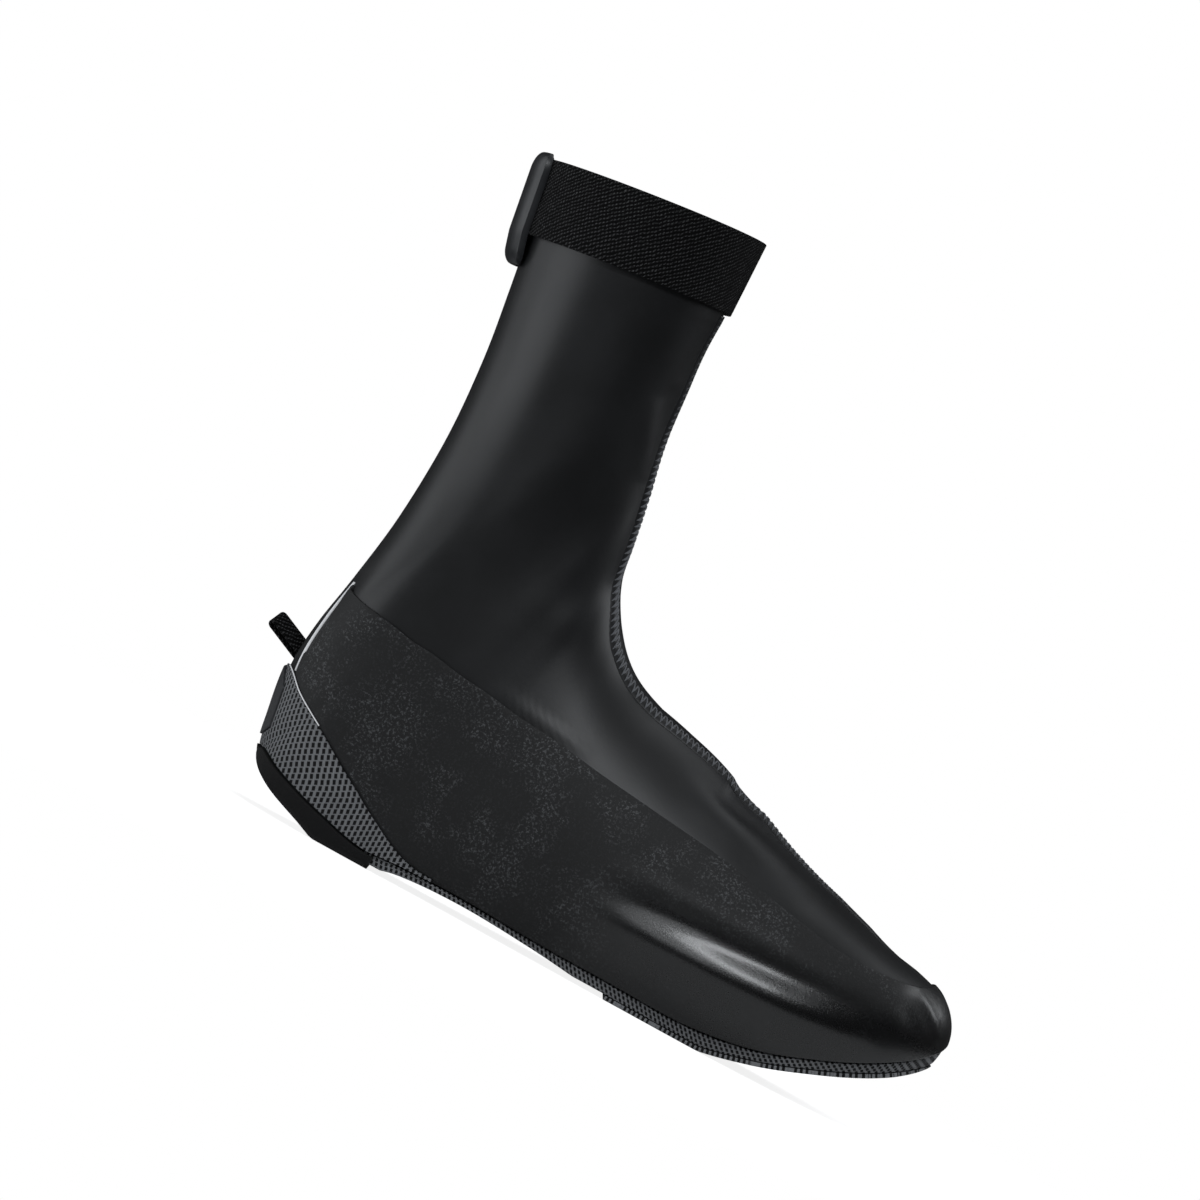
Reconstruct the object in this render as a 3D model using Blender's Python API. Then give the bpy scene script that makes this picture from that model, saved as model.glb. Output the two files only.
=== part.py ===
"""Cycling overshoe for the right foot, standing on the floor: +X is the toe, +Y the inner side, +Z up."""

import math

import bmesh
import bpy
import numpy as np

MM = 0.001

# Driving sizes in millimetres
LENGTH = 300.0
WALL = 1.6
PAD = 1.7
GAP = 0.4
RAND_GAP = 0.6
LAYER_GAP = 0.55
PANEL = 0.6
COUNTER = 0.7
STRIP = 0.5
SEAM_WIDTH = 6.0
SEAM = 0.8
PIPING_WIDTH = 2.2
PIPING = 0.7
CUFF = 2.2
TAB = 5.0
LOOP_LENGTH = 14.5
LOOP_WIDTH = 7.5
LOOP_HEIGHT = 4.6
LOOP_BAND = 1.3
LOOP_BASE = (1.95, 62.5)
WINDOW = (60.0, 46.0)
WINDOW_CORNER = 12.0
WINDOW_REACH = 60.0
WINDOW_MIDDLE = (214.0, 4.0)

# Angles in degrees: how far the loop rises from level, and how far it is twisted towards the lateral side
LOOP_RISE, LOOP_TWIST = 24.0, 50.0

# The underside of the base lies a pad and a gap above the floor
BASE_FLOOR = PAD + GAP

# Sections of the last from the toe, under the sole, round the heel and up to the collar.
# under: its lowest or rearmost point, over: its top or front point, as X from the heel and Z from the floor.
# lateral, medial: widest half widths. middle: sideways place of the centre line.
# widest: share of the section's height with that width. foot: squared share of it that the underside takes.
# low, high: how much fuller than an ellipse the section is below and above its widest place. bow: swell.
SECTION_COLUMNS = "under_x under_z over_x over_z lateral medial middle widest foot low high bow".split()
SECTIONS = np.array((
    (300.0, 39.5, 290.5, 60.5, 0.0, 0.0, 9.0, 0.44, 0.60, 0.00, 0.12, 4.5),
    (297.4, 36.3, 287.3, 64.0, 14.5, 14.0, 9.0, 0.43, 0.62, 0.00, 0.14, 4.0),
    (289.7, 30.8, 277.8, 67.2, 27.8, 27.0, 8.8, 0.42, 0.65, 0.00, 0.14, 2.5),
    (276.8, 23.5, 260.0, 70.3, 39.0, 37.0, 8.0, 0.40, 0.68, 0.00, 0.12, 1.0),
    (258.5, 15.5, 237.5, 77.2, 46.5, 43.5, 6.8, 0.37, 0.70, 0.00, 0.05, 0.0),
    (234.5, 7.0, 211.5, 86.0, 50.5, 47.5, 5.0, 0.34, 0.72, 0.00, -0.03, 0.0),
    (206.0, 1.0, 182.5, 97.5, 51.0, 48.0, 3.5, 0.32, 0.73, 0.00, -0.10, 0.0),
    (172.5, 1.0, 152.0, 106.0, 47.5, 43.5, 2.0, 0.31, 0.73, 0.00, -0.16, 0.0),
    (139.0, 3.8, 125.5, 115.5, 43.5, 39.0, 0.5, 0.31, 0.73, 0.00, -0.18, 0.0),
    (106.5, 5.2, 110.0, 130.0, 40.0, 36.5, 0.0, 0.33, 0.74, 0.00, -0.16, 0.0),
    (79.0, 3.6, 102.0, 146.0, 37.5, 36.0, 0.0, 0.36, 0.75, 0.03, -0.10, 0.0),
    (56.5, -1.5, 98.5, 161.0, 36.5, 36.0, 0.0, 0.40, 0.73, 0.06, -0.05, 0.0),
    (34.0, 5.6, 96.0, 173.5, 36.5, 36.0, 0.0, 0.43, 0.57, 0.10, 0.00, 0.0),
    (17.2, 12.2, 94.3, 183.0, 36.5, 36.5, 0.0, 0.44, 0.29, 0.14, 0.00, 0.0),
    (8.8, 20.0, 92.8, 191.0, 36.5, 36.5, 0.0, 0.45, 0.00, 0.17, 0.00, 0.0),
    (5.3, 35.0, 91.5, 198.5, 36.5, 36.5, 0.0, 0.46, -0.29, 0.18, 0.00, 0.0),
    (2.5, 55.0, 90.3, 206.0, 36.8, 36.8, 0.0, 0.47, -0.57, 0.17, 0.00, 0.0),
    (3.8, 74.5, 89.2, 213.5, 37.0, 37.0, 0.0, 0.48, -0.70, 0.15, 0.00, 0.0),
    (7.8, 97.0, 88.2, 221.0, 36.8, 36.8, 0.0, 0.49, -0.70, 0.12, 0.00, 0.0),
    (12.0, 127.0, 87.2, 229.0, 36.5, 36.5, 0.0, 0.50, -0.70, 0.09, 0.00, 0.0),
    (13.5, 163.0, 86.4, 236.5, 36.8, 36.8, 0.0, 0.50, -0.70, 0.06, 0.02, 0.0),
    (11.3, 197.0, 86.0, 243.5, 37.8, 37.8, 0.0, 0.50, -0.70, 0.04, 0.03, 0.0),
    (7.3, 225.0, 86.0, 250.5, 39.0, 39.0, 0.0, 0.50, -0.70, 0.03, 0.03, 0.0),
    (3.5, 248.0, 86.0, 258.0, 40.2, 40.2, 0.0, 0.50, -0.70, 0.02, 0.03, 0.0),
    (-1.3, 277.0, 85.0, 288.0, 41.5, 41.5, 0.0, 0.50, -0.70, 0.02, 0.03, 0.0),
))

# Named places along the sections
PAD_TOE, PAD_REAR, COUNTER_FRONT, HEEL_PAD_FRONT = 2 / 3, 7.0, 9.5, 10.5
BASE_END, HEEL, HEEL_PAD_END, COUNTER_TOP = 13 + 2 / 3, 14.0, 14 + 1 / 3, 16.0
STRIP_LOW, STRIP_TOP, PIPING_LOW, PIPING_TOP = 14.45, 15.93, 16.0, 17.9
SEAM_TOE, PANEL_BACK, SEAM_TOP, CUFF_LOW, COLLAR, CUFF_TOP = 2.6, 17.6, 22.92, 23.0, 24.0, 24.05
TAB_LOW, TAB_TOP, TAB_CORNER = 22.45, 24.12, 0.25

# How far to the lateral side of the ridge the middle of the front seam runs, in millimetres, at these places
SEAM_PLACES = (SEAM_TOE, 6.0, 9.0, 12.0, SEAM_TOP)
SEAM_ASIDE = (4.0, 11.0, 12.0, 8.0, 6.0)

# Turns round a section, from 0 at its lower end or the centre back to 1 at its ridge
STRIP_TURN, PIPING_TURN, TAB_TURN, LEAST_TURN = 0.085, 0.085, 0.09, 0.01

# Shares: of the counter's width that the back strip takes, of the tab's width that its corners round off,
# and of a turn that lies below a section's widest place
STRIP_SHARE, TAB_ROUND, WIDEST_ROUND = 0.7, 0.25, 0.4

# Corners sharper than this are raised no further off the last than this many times the lift
SHARPEST = 1.4

# How finely the sections are read, as first section, last section and steps: finer round the toe and the heel
FINENESS = ((0, 3, 3), (3, 12, 2), (12, 17, 3), (17, 24, 1))

# Faces round one side of each piece, and across the underside
SHELL_FACES, PANEL_FACES, COUNTER_FACES, CUFF_FACES, TAB_FACES, STRIP_FACES = 12, 7, 4, 24, 6, 2
RAND_FACES, BASE_FACES, PAD_FACES, SEAM_FACES, LOOP_BENDS = 2, 4, 6, 2, 9

# Places nearer together than this count as one
PLACE_APART = 0.05

# Heights above the floor where pieces end on each of those sections, up to the piping's top
EDGE_COLUMNS = "rand heel_pad counter panel".split()
EDGES = np.array((
    (47.0, 0.0, 0.0, 72.0),
    (43.0, 0.0, 0.0, 67.0),
    (37.0, 0.0, 0.0, 62.0),
    (29.8, 0.0, 0.0, 59.5),
    (21.6, 0.0, 0.0, 60.0),
    (13.2, 0.0, 0.0, 64.0),
    (8.0, 0.0, 0.0, 69.5),
    (6.6, 0.0, 0.0, 73.0),
    (6.2, 0.0, 6.2, 76.0),
    (7.2, 0.0, 7.2, 79.0),
    (6.8, 4.5, 10.0, 80.5),
    (5.5, 6.2, 18.5, 82.5),
    (9.2, 11.4, 29.0, 84.0),
    (15.4, 17.0, 37.5, 86.0),
    (20.0, 21.5, 42.5, 86.5),
    (20.0, 21.5, 47.5, 88.0),
    (20.0, 21.5, 55.0, 89.5),
    (20.0, 21.5, 55.0, 91.0),
    (20.0, 21.5, 55.0, 94.0),
))

LATERAL, MEDIAL = -1, 1


def along(table, columns, name, place):
    """The named column read smoothly at any place along the sections; widths change sign beyond the toe."""
    rows = table[:, columns.index(name)]
    beyond_toe = -rows[1] if name in ("lateral", "medial") else rows[1]
    rows = np.concatenate(([beyond_toe], rows, [2 * rows[-1] - rows[-2]]))
    place = np.asarray(place, float)
    first = np.clip(np.floor(place).astype(int), 0, len(rows) - 4)
    t = place - first
    a, b, c, d = (rows[first + step] for step in range(4))
    return 0.5 * (2 * b + (c - a) * t + (2 * a - 5 * b + 4 * c - d) * t**2 + (3 * b - a - 3 * c + d) * t**3)


def section(name, place):
    return along(SECTIONS, SECTION_COLUMNS, name, place)


def edge(name, place):
    return along(EDGES, EDGE_COLUMNS, name, np.minimum(place, len(EDGES) - 1))


def under_height(place):
    return np.maximum(section("under_z", place), BASE_FLOOR)


def foot_angle(place):
    """Where round the lower half of a section its underside ends; none behind the heel."""
    return np.arcsin(np.sqrt(np.clip(section("foot", place), 0.0, 0.95)))


def round_at_share(place, share):
    """How far round a section, from 0 at its lower end to 1 at its ridge, a share of its height lies."""
    widest = section("widest", place)
    start = foot_angle(place)
    low = np.arccos(np.clip((1 - share / widest) * np.cos(start), -1, 1))
    low = (low - start) / (math.pi / 2 - start)
    high = np.arcsin(np.clip((share - widest) / (1 - widest), 0, 1)) / (math.pi / 2)
    return np.where(share < widest, WIDEST_ROUND * low, WIDEST_ROUND + (1 - WIDEST_ROUND) * high)


def round_at_height(place, height):
    low = under_height(place)
    share = (height - low) / (section("over_z", place) - low)
    return round_at_share(place, np.clip(share, 0, 1))


def round_at_ridge(place, aside):
    """How far round a section lies what is this far to the lateral side of its ridge."""
    width = section("lateral", place) * (1 + section("high", place))
    return WIDEST_ROUND + (1 - WIDEST_ROUND) * np.arccos(aside / width) / (math.pi / 2)


def skin(place, turn, side):
    """The outer face of the last, in millimetres, at a place along its sections and a turn round one side."""
    widest = section("widest", place)
    start = foot_angle(place)
    low = start + (math.pi / 2 - start) * np.clip(turn / WIDEST_ROUND, 0, 1)
    high = math.pi / 2 * np.clip((turn - WIDEST_ROUND) / (1 - WIDEST_ROUND), 0, 1)
    share_low = widest * (1 - np.cos(low) / np.cos(start))
    share = np.where(turn < WIDEST_ROUND, share_low, widest + (1 - widest) * np.sin(high))
    width_low = np.sin(low) * (1 + section("low", place) * np.cos(low) ** 2)
    width_high = np.cos(high) * (1 + section("high", place) * np.sin(high) ** 2)
    width = np.where(turn < WIDEST_ROUND, width_low, width_high)
    width = width * section("lateral" if side == LATERAL else "medial", place)
    lean_x = section("over_x", place) - section("under_x", place)
    lean_z = section("over_z", place) - under_height(place)
    swell = 4 * share * (1 - share) * section("bow", place) / np.hypot(lean_x, lean_z)
    x = section("under_x", place) + lean_x * share + swell * lean_z
    z = under_height(place) + lean_z * share - swell * lean_x
    y = section("middle", place) + side * width
    return np.stack((x - LENGTH / 2, y, z), axis=-1)


def places(start, end):
    """Places from start to end, with those between them shared by all pieces."""
    shared = np.concatenate([np.arange(first, last, 1 / steps) for first, last, steps in FINENESS])
    inner = shared[(shared > start + PLACE_APART) & (shared < end - PLACE_APART)]
    return np.concatenate(([start], inner, [end]))


def half(spots, low, high, count, side):
    """A strip of points for each place, from one turn round the section to another."""
    shares = np.linspace(0, 1, count + 1)
    turns = low[:, None] + (high - low)[:, None] * shares
    return skin(spots[:, None], turns, side)


def across(spots, count):
    """A strip for each place across the underside, from the medial to the lateral feather edge."""
    shares = np.linspace(0, 1, count + 1)
    medial = skin(spots[:, None], np.zeros((1, 1)), MEDIAL)
    lateral = skin(spots[:, None], np.zeros((1, 1)), LATERAL)
    return medial + (lateral - medial) * shares[None, :, None]


def over_ridge(spots, low, count):
    """A strip from a turn on the lateral side over the ridge to the same turn on the medial side."""
    top = np.ones(len(spots))
    lateral = half(spots, low, top, count, LATERAL)
    medial = half(spots, top, low, count, MEDIAL)
    return np.concatenate((lateral, medial[:, 1:]), axis=1)


def under_foot(spots, high, side_count, count):
    """A strip from a turn on the medial side under the foot, or round its back, to the lateral side."""
    bottom = np.zeros(len(spots))
    medial = half(spots, high, bottom, side_count, MEDIAL)
    lateral = half(spots, bottom, high, side_count, LATERAL)
    return np.concatenate((medial, across(spots, count)[:, 1:-1], lateral), axis=1)


def both_sides(spots, low, high, count):
    """Strips on the medial and the lateral side; they meet where low is 0 behind the heel or high is 1."""
    return [half(spots, high, low, count, MEDIAL), half(spots, low, high, count, LATERAL)]


def turn_over(spots, distance):
    """The turn round a section that runs over this distance near the centre back."""
    here = np.full(spots.shape, PIPING_TURN)
    run = skin(spots, here + LEAST_TURN, LATERAL) - skin(spots, here, LATERAL)
    return distance * LEAST_TURN / np.linalg.norm(run, axis=-1)


def material(name, colour, roughness):
    made = bpy.data.materials.new(name)
    made.use_nodes = True
    shader = made.node_tree.nodes["Principled BSDF"]
    shader.inputs["Base Color"].default_value = (*colour, 1.0)
    shader.inputs["Roughness"].default_value = roughness
    shader.inputs["Metallic"].default_value = 0.0
    return made


def place_mesh(name, made, finish):
    mesh = bpy.data.meshes.new(name)
    made.to_mesh(mesh)
    made.free()
    mesh.shade_smooth()
    mesh.materials.append(finish)
    piece = bpy.data.objects.new(name, mesh)
    bpy.context.collection.objects.link(piece)
    return piece


def sheet(name, blocks, lift, thickness, finish, even=True):
    """A solid from blocks of strips in millimetres: raised by lift off the last, then given its thickness."""
    made = bmesh.new()
    for strips in blocks:
        rows = [[made.verts.new(point * MM) for point in strip] for strip in strips]
        for near, far in zip(rows, rows[1:]):
            for j in range(len(near) - 1):
                made.faces.new((near[j], near[j + 1], far[j + 1], far[j]))
    bmesh.ops.remove_doubles(made, verts=made.verts, dist=1e-6)
    bmesh.ops.dissolve_degenerate(made, edges=made.edges, dist=1e-6)
    bmesh.ops.triangulate(made, faces=made.faces, quad_method="SHORT_EDGE")
    folded = [vert for vert in made.verts if len(vert.link_edges) == 2 and not vert.is_boundary]
    bmesh.ops.delete(made, geom=folded, context="VERTS")
    made.normal_update()
    reach = [min(vert.calc_shell_factor(), SHARPEST) for vert in made.verts]
    for vert, share in zip(made.verts, reach):
        vert.co += vert.normal * share * lift * MM
    piece = place_mesh(name, made, finish)
    wall = piece.modifiers.new("wall", "SOLIDIFY")
    wall.thickness = abs(thickness) * MM
    wall.offset = math.copysign(1.0, thickness)
    wall.use_even_offset = even
    return piece


def cut(piece, cutter):
    opening = piece.modifiers.new("opening", "BOOLEAN")
    opening.operation = "DIFFERENCE"
    opening.object = cutter


def make_shell(finish):
    """The stretch upper: one wall from the rand over the foot to the collar."""
    spots = places(0.0, COLLAR)
    low = round_at_height(spots, edge("rand", spots) + RAND_GAP)
    low = np.where(spots < HEEL - PLACE_APART, low, 0.0)
    return sheet("shell", [over_ridge(spots, low, SHELL_FACES)], 0.0, -WALL, finish)


def make_outsole(finish):
    """The woven base: flat across, with arch, toe spring and a rand that turns up all round."""
    spots = places(0.0, BASE_END)
    high = round_at_height(spots, edge("rand", spots))
    return sheet("outsole", [under_foot(spots, high, RAND_FACES, BASE_FACES)], 0.0, -WALL, finish)


def make_forefoot_pad(finish):
    """The pad under the ball, whose rear end is the step in the sole's lower edge."""
    spots = places(PAD_TOE, PAD_REAR)
    return sheet("forefoot_pad", [across(spots, PAD_FACES)], GAP, PAD, finish)


def make_heel_pad(finish):
    """The cup under the heel that turns up behind it."""
    spots = places(HEEL_PAD_FRONT, HEEL_PAD_END)
    high = round_at_height(spots, edge("heel_pad", spots))
    return sheet("heel_pad", [under_foot(spots, high, 1, PAD_FACES)], GAP, PAD, finish)


def make_window():
    """The cutter for the cleat's window through base and pad."""
    made = bmesh.new()
    bmesh.ops.create_cube(made, size=1.0)
    for vert in made.verts:
        vert.co.x = (vert.co.x * WINDOW[0] + WINDOW_MIDDLE[0] - LENGTH / 2) * MM
        vert.co.y = (vert.co.y * WINDOW[1] + WINDOW_MIDDLE[1]) * MM
        vert.co.z *= WINDOW_REACH * MM
    upright = [side for side in made.edges if side.verts[0].co.xy == side.verts[1].co.xy]
    bmesh.ops.bevel(made, geom=upright, offset=WINDOW_CORNER * MM, segments=4, profile=0.5, affect="EDGES")
    mesh = bpy.data.meshes.new("cleat_window")
    made.to_mesh(mesh)
    made.free()
    cutter = bpy.data.objects.new("cleat_window", mesh)
    bpy.context.collection.objects.link(cutter)
    cutter.hide_render = True
    cutter.display_type = "WIRE"
    return cutter


def make_heel_counter(finish):
    """The woven panel round the heel, from the heel pad up to its point at the centre back."""
    spots = places(COUNTER_FRONT, COUNTER_TOP)
    low = round_at_height(spots, np.maximum(edge("heel_pad", spots), edge("rand", spots)) + 2 * GAP)
    high = round_at_height(spots, edge("counter", spots))
    blocks = both_sides(spots, low, np.maximum(high, low + LEAST_TURN), COUNTER_FACES)
    return sheet("heel_counter", blocks, LAYER_GAP, COUNTER, finish, even=False)


def make_back_strip(finish):
    """The narrow strip down the counter's centre back, slimmer towards its top."""
    spots = places(STRIP_LOW, STRIP_TOP)
    high = np.minimum(STRIP_TURN, STRIP_SHARE * round_at_height(spots, edge("counter", spots)))
    blocks = both_sides(spots, 0 * spots, high, STRIP_FACES)
    return sheet("back_strip", blocks, LAYER_GAP + COUNTER + GAP, STRIP, finish)


def make_side_panel(finish):
    """The matte layer over the lower quarters and the toe, between rand or counter and its upper edge."""
    spots = places(0.0, PANEL_BACK)
    low = round_at_height(spots, np.maximum(edge("rand", spots), edge("counter", spots)) + 3 * GAP)
    low = np.where(spots > HEEL, np.maximum(low, PIPING_TURN + turn_over(spots, PIPING_WIDTH)), low)
    high = np.maximum(round_at_height(spots, edge("panel", spots)), low + LEAST_TURN)
    blocks = both_sides(spots, low, high, PANEL_FACES)
    return sheet("side_panel", blocks, LAYER_GAP, PANEL, finish, even=False)


def make_front_seam(finish):
    """The raised seam down the front of shaft and instep, a little to the lateral side of the ridge."""
    spots = places(SEAM_TOE, SEAM_TOP)
    aside = np.interp(spots, SEAM_PLACES, SEAM_ASIDE)
    low = round_at_ridge(spots, aside + SEAM_WIDTH / 2)
    high = round_at_ridge(spots, aside - SEAM_WIDTH / 2)
    return sheet("front_seam", [half(spots, low, high, SEAM_FACES, LATERAL)], GAP, SEAM, finish)


def make_piping(name, side, finish):
    """The reflective line up the rear edge of the side panel."""
    spots = places(PIPING_LOW, PIPING_TOP)
    reach = -side * turn_over(spots, PIPING_WIDTH / 2)
    return sheet(name, [half(spots, PIPING_TURN - reach, PIPING_TURN + reach, 1, side)], GAP, PIPING, finish)


def make_cuff(finish):
    """The wide elastic band round the collar."""
    spots = places(CUFF_LOW, CUFF_TOP)
    return sheet("cuff", [over_ridge(spots, 0 * spots, CUFF_FACES)], GAP, CUFF, finish)


def make_closure_tab(finish):
    """The smooth tab over the back of the cuff, with rounded corners."""
    ends = TAB_CORNER * np.array((0.0, 0.15, 0.5, 1.0))
    spots = np.concatenate((TAB_LOW + ends, [CUFF_LOW], TAB_TOP - ends[::-1]))
    to_end = np.minimum(spots - TAB_LOW, TAB_TOP - spots)
    corner = np.clip(1 - to_end / TAB_CORNER, 0, 1)
    high = TAB_TURN * (1 - TAB_ROUND * (1 - np.sqrt(1 - corner**2)))
    return sheet("closure_tab", both_sides(spots, 0 * spots, high, TAB_FACES), 2 * GAP + CUFF, TAB, finish)


def loop_point(out, up, beside):
    """A point of the pull loop, which rises and is twisted; where out is 0 its ends lie along the shell."""
    rise, twist = math.radians(LOOP_RISE), math.radians(LOOP_TWIST)
    down = up * math.cos(twist) - beside * math.sin(twist)
    aside = up * math.sin(twist) + beside * math.cos(twist)
    if out == 0:
        out = -down * math.tan(rise)
    x = LOOP_BASE[0] - out * math.cos(rise) - down * math.sin(rise) - LENGTH / 2
    return np.array((x, aside, LOOP_BASE[1] + out * math.sin(rise) - down * math.cos(rise)))


def make_pull_loop(finish):
    """The webbing folded into a loop, standing out from the centre back above the counter."""
    reach = LOOP_HEIGHT / 2 - LOOP_BAND / 2
    bends = np.linspace(math.pi / 2, -math.pi / 2, LOOP_BENDS)
    middle = [(0.0, reach)]
    middle += [(reach * math.cos(bend) + LOOP_LENGTH - reach, reach * math.sin(bend)) for bend in bends]
    middle += [(0.0, -reach)]
    middle = np.array(middle)
    run = np.gradient(middle, axis=0)
    run[0], run[-1] = (1.0, 0.0), (-1.0, 0.0)
    aside = np.stack((-run[:, 1], run[:, 0]), axis=-1) / np.hypot(run[:, 0], run[:, 1])[:, None]
    outline = np.concatenate((middle + aside * LOOP_BAND / 2, (middle - aside * LOOP_BAND / 2)[::-1]))
    made = bmesh.new()
    near, far = ([made.verts.new(loop_point(out, up, beside) * MM) for out, up in outline]
                 for beside in (-LOOP_WIDTH / 2, LOOP_WIDTH / 2))
    total = len(outline)
    for i in range(total):
        made.faces.new((near[i], near[i - 1], far[i - 1], far[i]))
    for ring in (near, far):
        for i in range(len(middle) - 1):
            made.faces.new((ring[i], ring[i + 1], ring[total - 2 - i], ring[total - 1 - i]))
    bmesh.ops.recalc_face_normals(made, faces=made.faces)
    return place_mesh("pull_loop", made, finish)


def clear_scene():
    for item in list(bpy.data.objects):
        bpy.data.objects.remove(item, do_unlink=True)


def stand_on_origin():
    """Moves all pieces together, so that the middle of their box is over the origin."""
    bpy.context.view_layer.update()
    graph = bpy.context.evaluated_depsgraph_get()
    pieces = [item for item in bpy.data.objects if not item.hide_render]
    corners = np.array([corner[:] for item in pieces for corner in item.evaluated_get(graph).bound_box])
    middle = (corners.min(axis=0) + corners.max(axis=0)) / 2
    for item in bpy.data.objects:
        item.location = (-middle[0], -middle[1], 0.0)


def main():
    clear_scene()
    coated = material("coated_stretch", (0.012, 0.012, 0.014), 0.42)
    grained = material("grained_layer", (0.010, 0.010, 0.011), 0.62)
    woven = material("woven_base", (0.060, 0.062, 0.066), 0.75)
    rubber = material("grained_rubber", (0.010, 0.010, 0.010), 0.80)
    silver = material("silver_strip", (0.30, 0.31, 0.32), 0.55)
    reflective = material("reflective_white", (0.75, 0.76, 0.78), 0.35)
    elastic = material("elastic_webbing", (0.009, 0.009, 0.010), 0.85)
    smooth = material("smooth_tab", (0.030, 0.032, 0.036), 0.40)
    window = make_window()
    make_shell(coated)
    for piece in (make_outsole(woven), make_forefoot_pad(woven)):
        cut(piece, window)
    make_heel_pad(rubber)
    make_heel_counter(woven)
    make_back_strip(silver)
    make_side_panel(grained)
    make_front_seam(coated)
    make_piping("reflective_piping_lateral", LATERAL, reflective)
    make_piping("reflective_piping_medial", MEDIAL, reflective)
    make_cuff(elastic)
    make_closure_tab(smooth)
    make_pull_loop(elastic)
    stand_on_origin()


main()
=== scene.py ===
"""Looks of the cycling overshoe: its soft forms, finishes, light and camera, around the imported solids."""

import math

import bmesh
import bpy
import numpy as np
from mathutils import Matrix, Vector
from mathutils.kdtree import KDTree


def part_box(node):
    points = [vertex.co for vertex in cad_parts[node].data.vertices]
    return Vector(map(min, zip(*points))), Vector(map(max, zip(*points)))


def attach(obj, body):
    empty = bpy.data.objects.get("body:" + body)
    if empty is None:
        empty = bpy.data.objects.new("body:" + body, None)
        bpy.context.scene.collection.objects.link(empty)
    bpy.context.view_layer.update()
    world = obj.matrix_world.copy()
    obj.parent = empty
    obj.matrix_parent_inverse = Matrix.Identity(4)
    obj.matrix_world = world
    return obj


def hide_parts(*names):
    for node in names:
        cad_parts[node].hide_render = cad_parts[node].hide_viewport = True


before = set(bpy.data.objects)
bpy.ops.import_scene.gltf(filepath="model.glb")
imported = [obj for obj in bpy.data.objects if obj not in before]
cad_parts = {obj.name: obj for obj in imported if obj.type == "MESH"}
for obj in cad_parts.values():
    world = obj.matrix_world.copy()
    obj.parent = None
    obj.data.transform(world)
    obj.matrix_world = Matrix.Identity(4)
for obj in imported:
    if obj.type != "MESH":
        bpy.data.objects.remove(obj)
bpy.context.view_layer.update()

MM = 0.001

# Sizes of the pieces in millimetres, as in the solids
WALL = 1.6
PAD = 1.7
GAP = 0.4
RAND_GAP = 0.6
LAYER_GAP = 0.55
PANEL = 0.6
COUNTER = 0.7
STRIP = 0.5
SEAM_WIDTH = 6.0
SEAM = 0.8
PIPING_WIDTH = 2.2
PIPING = 0.7
CUFF = 2.2
TAB = 5.0
LOOP_LENGTH = 14.5
LOOP_WIDTH = 7.5
LOOP_HEIGHT = 4.6
LOOP_BAND = 1.3
LOOP_BASE = (1.95, 62.5)
WINDOW = (60.0, 46.0)
WINDOW_CORNER = 12.0
WINDOW_MIDDLE = (214.0, 4.0)
BASE_FLOOR = PAD + GAP

# Angles in degrees: how far the loop rises from level, and how far it is twisted towards the lateral side
LOOP_RISE, LOOP_TWIST = 24.0, 50.0

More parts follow.
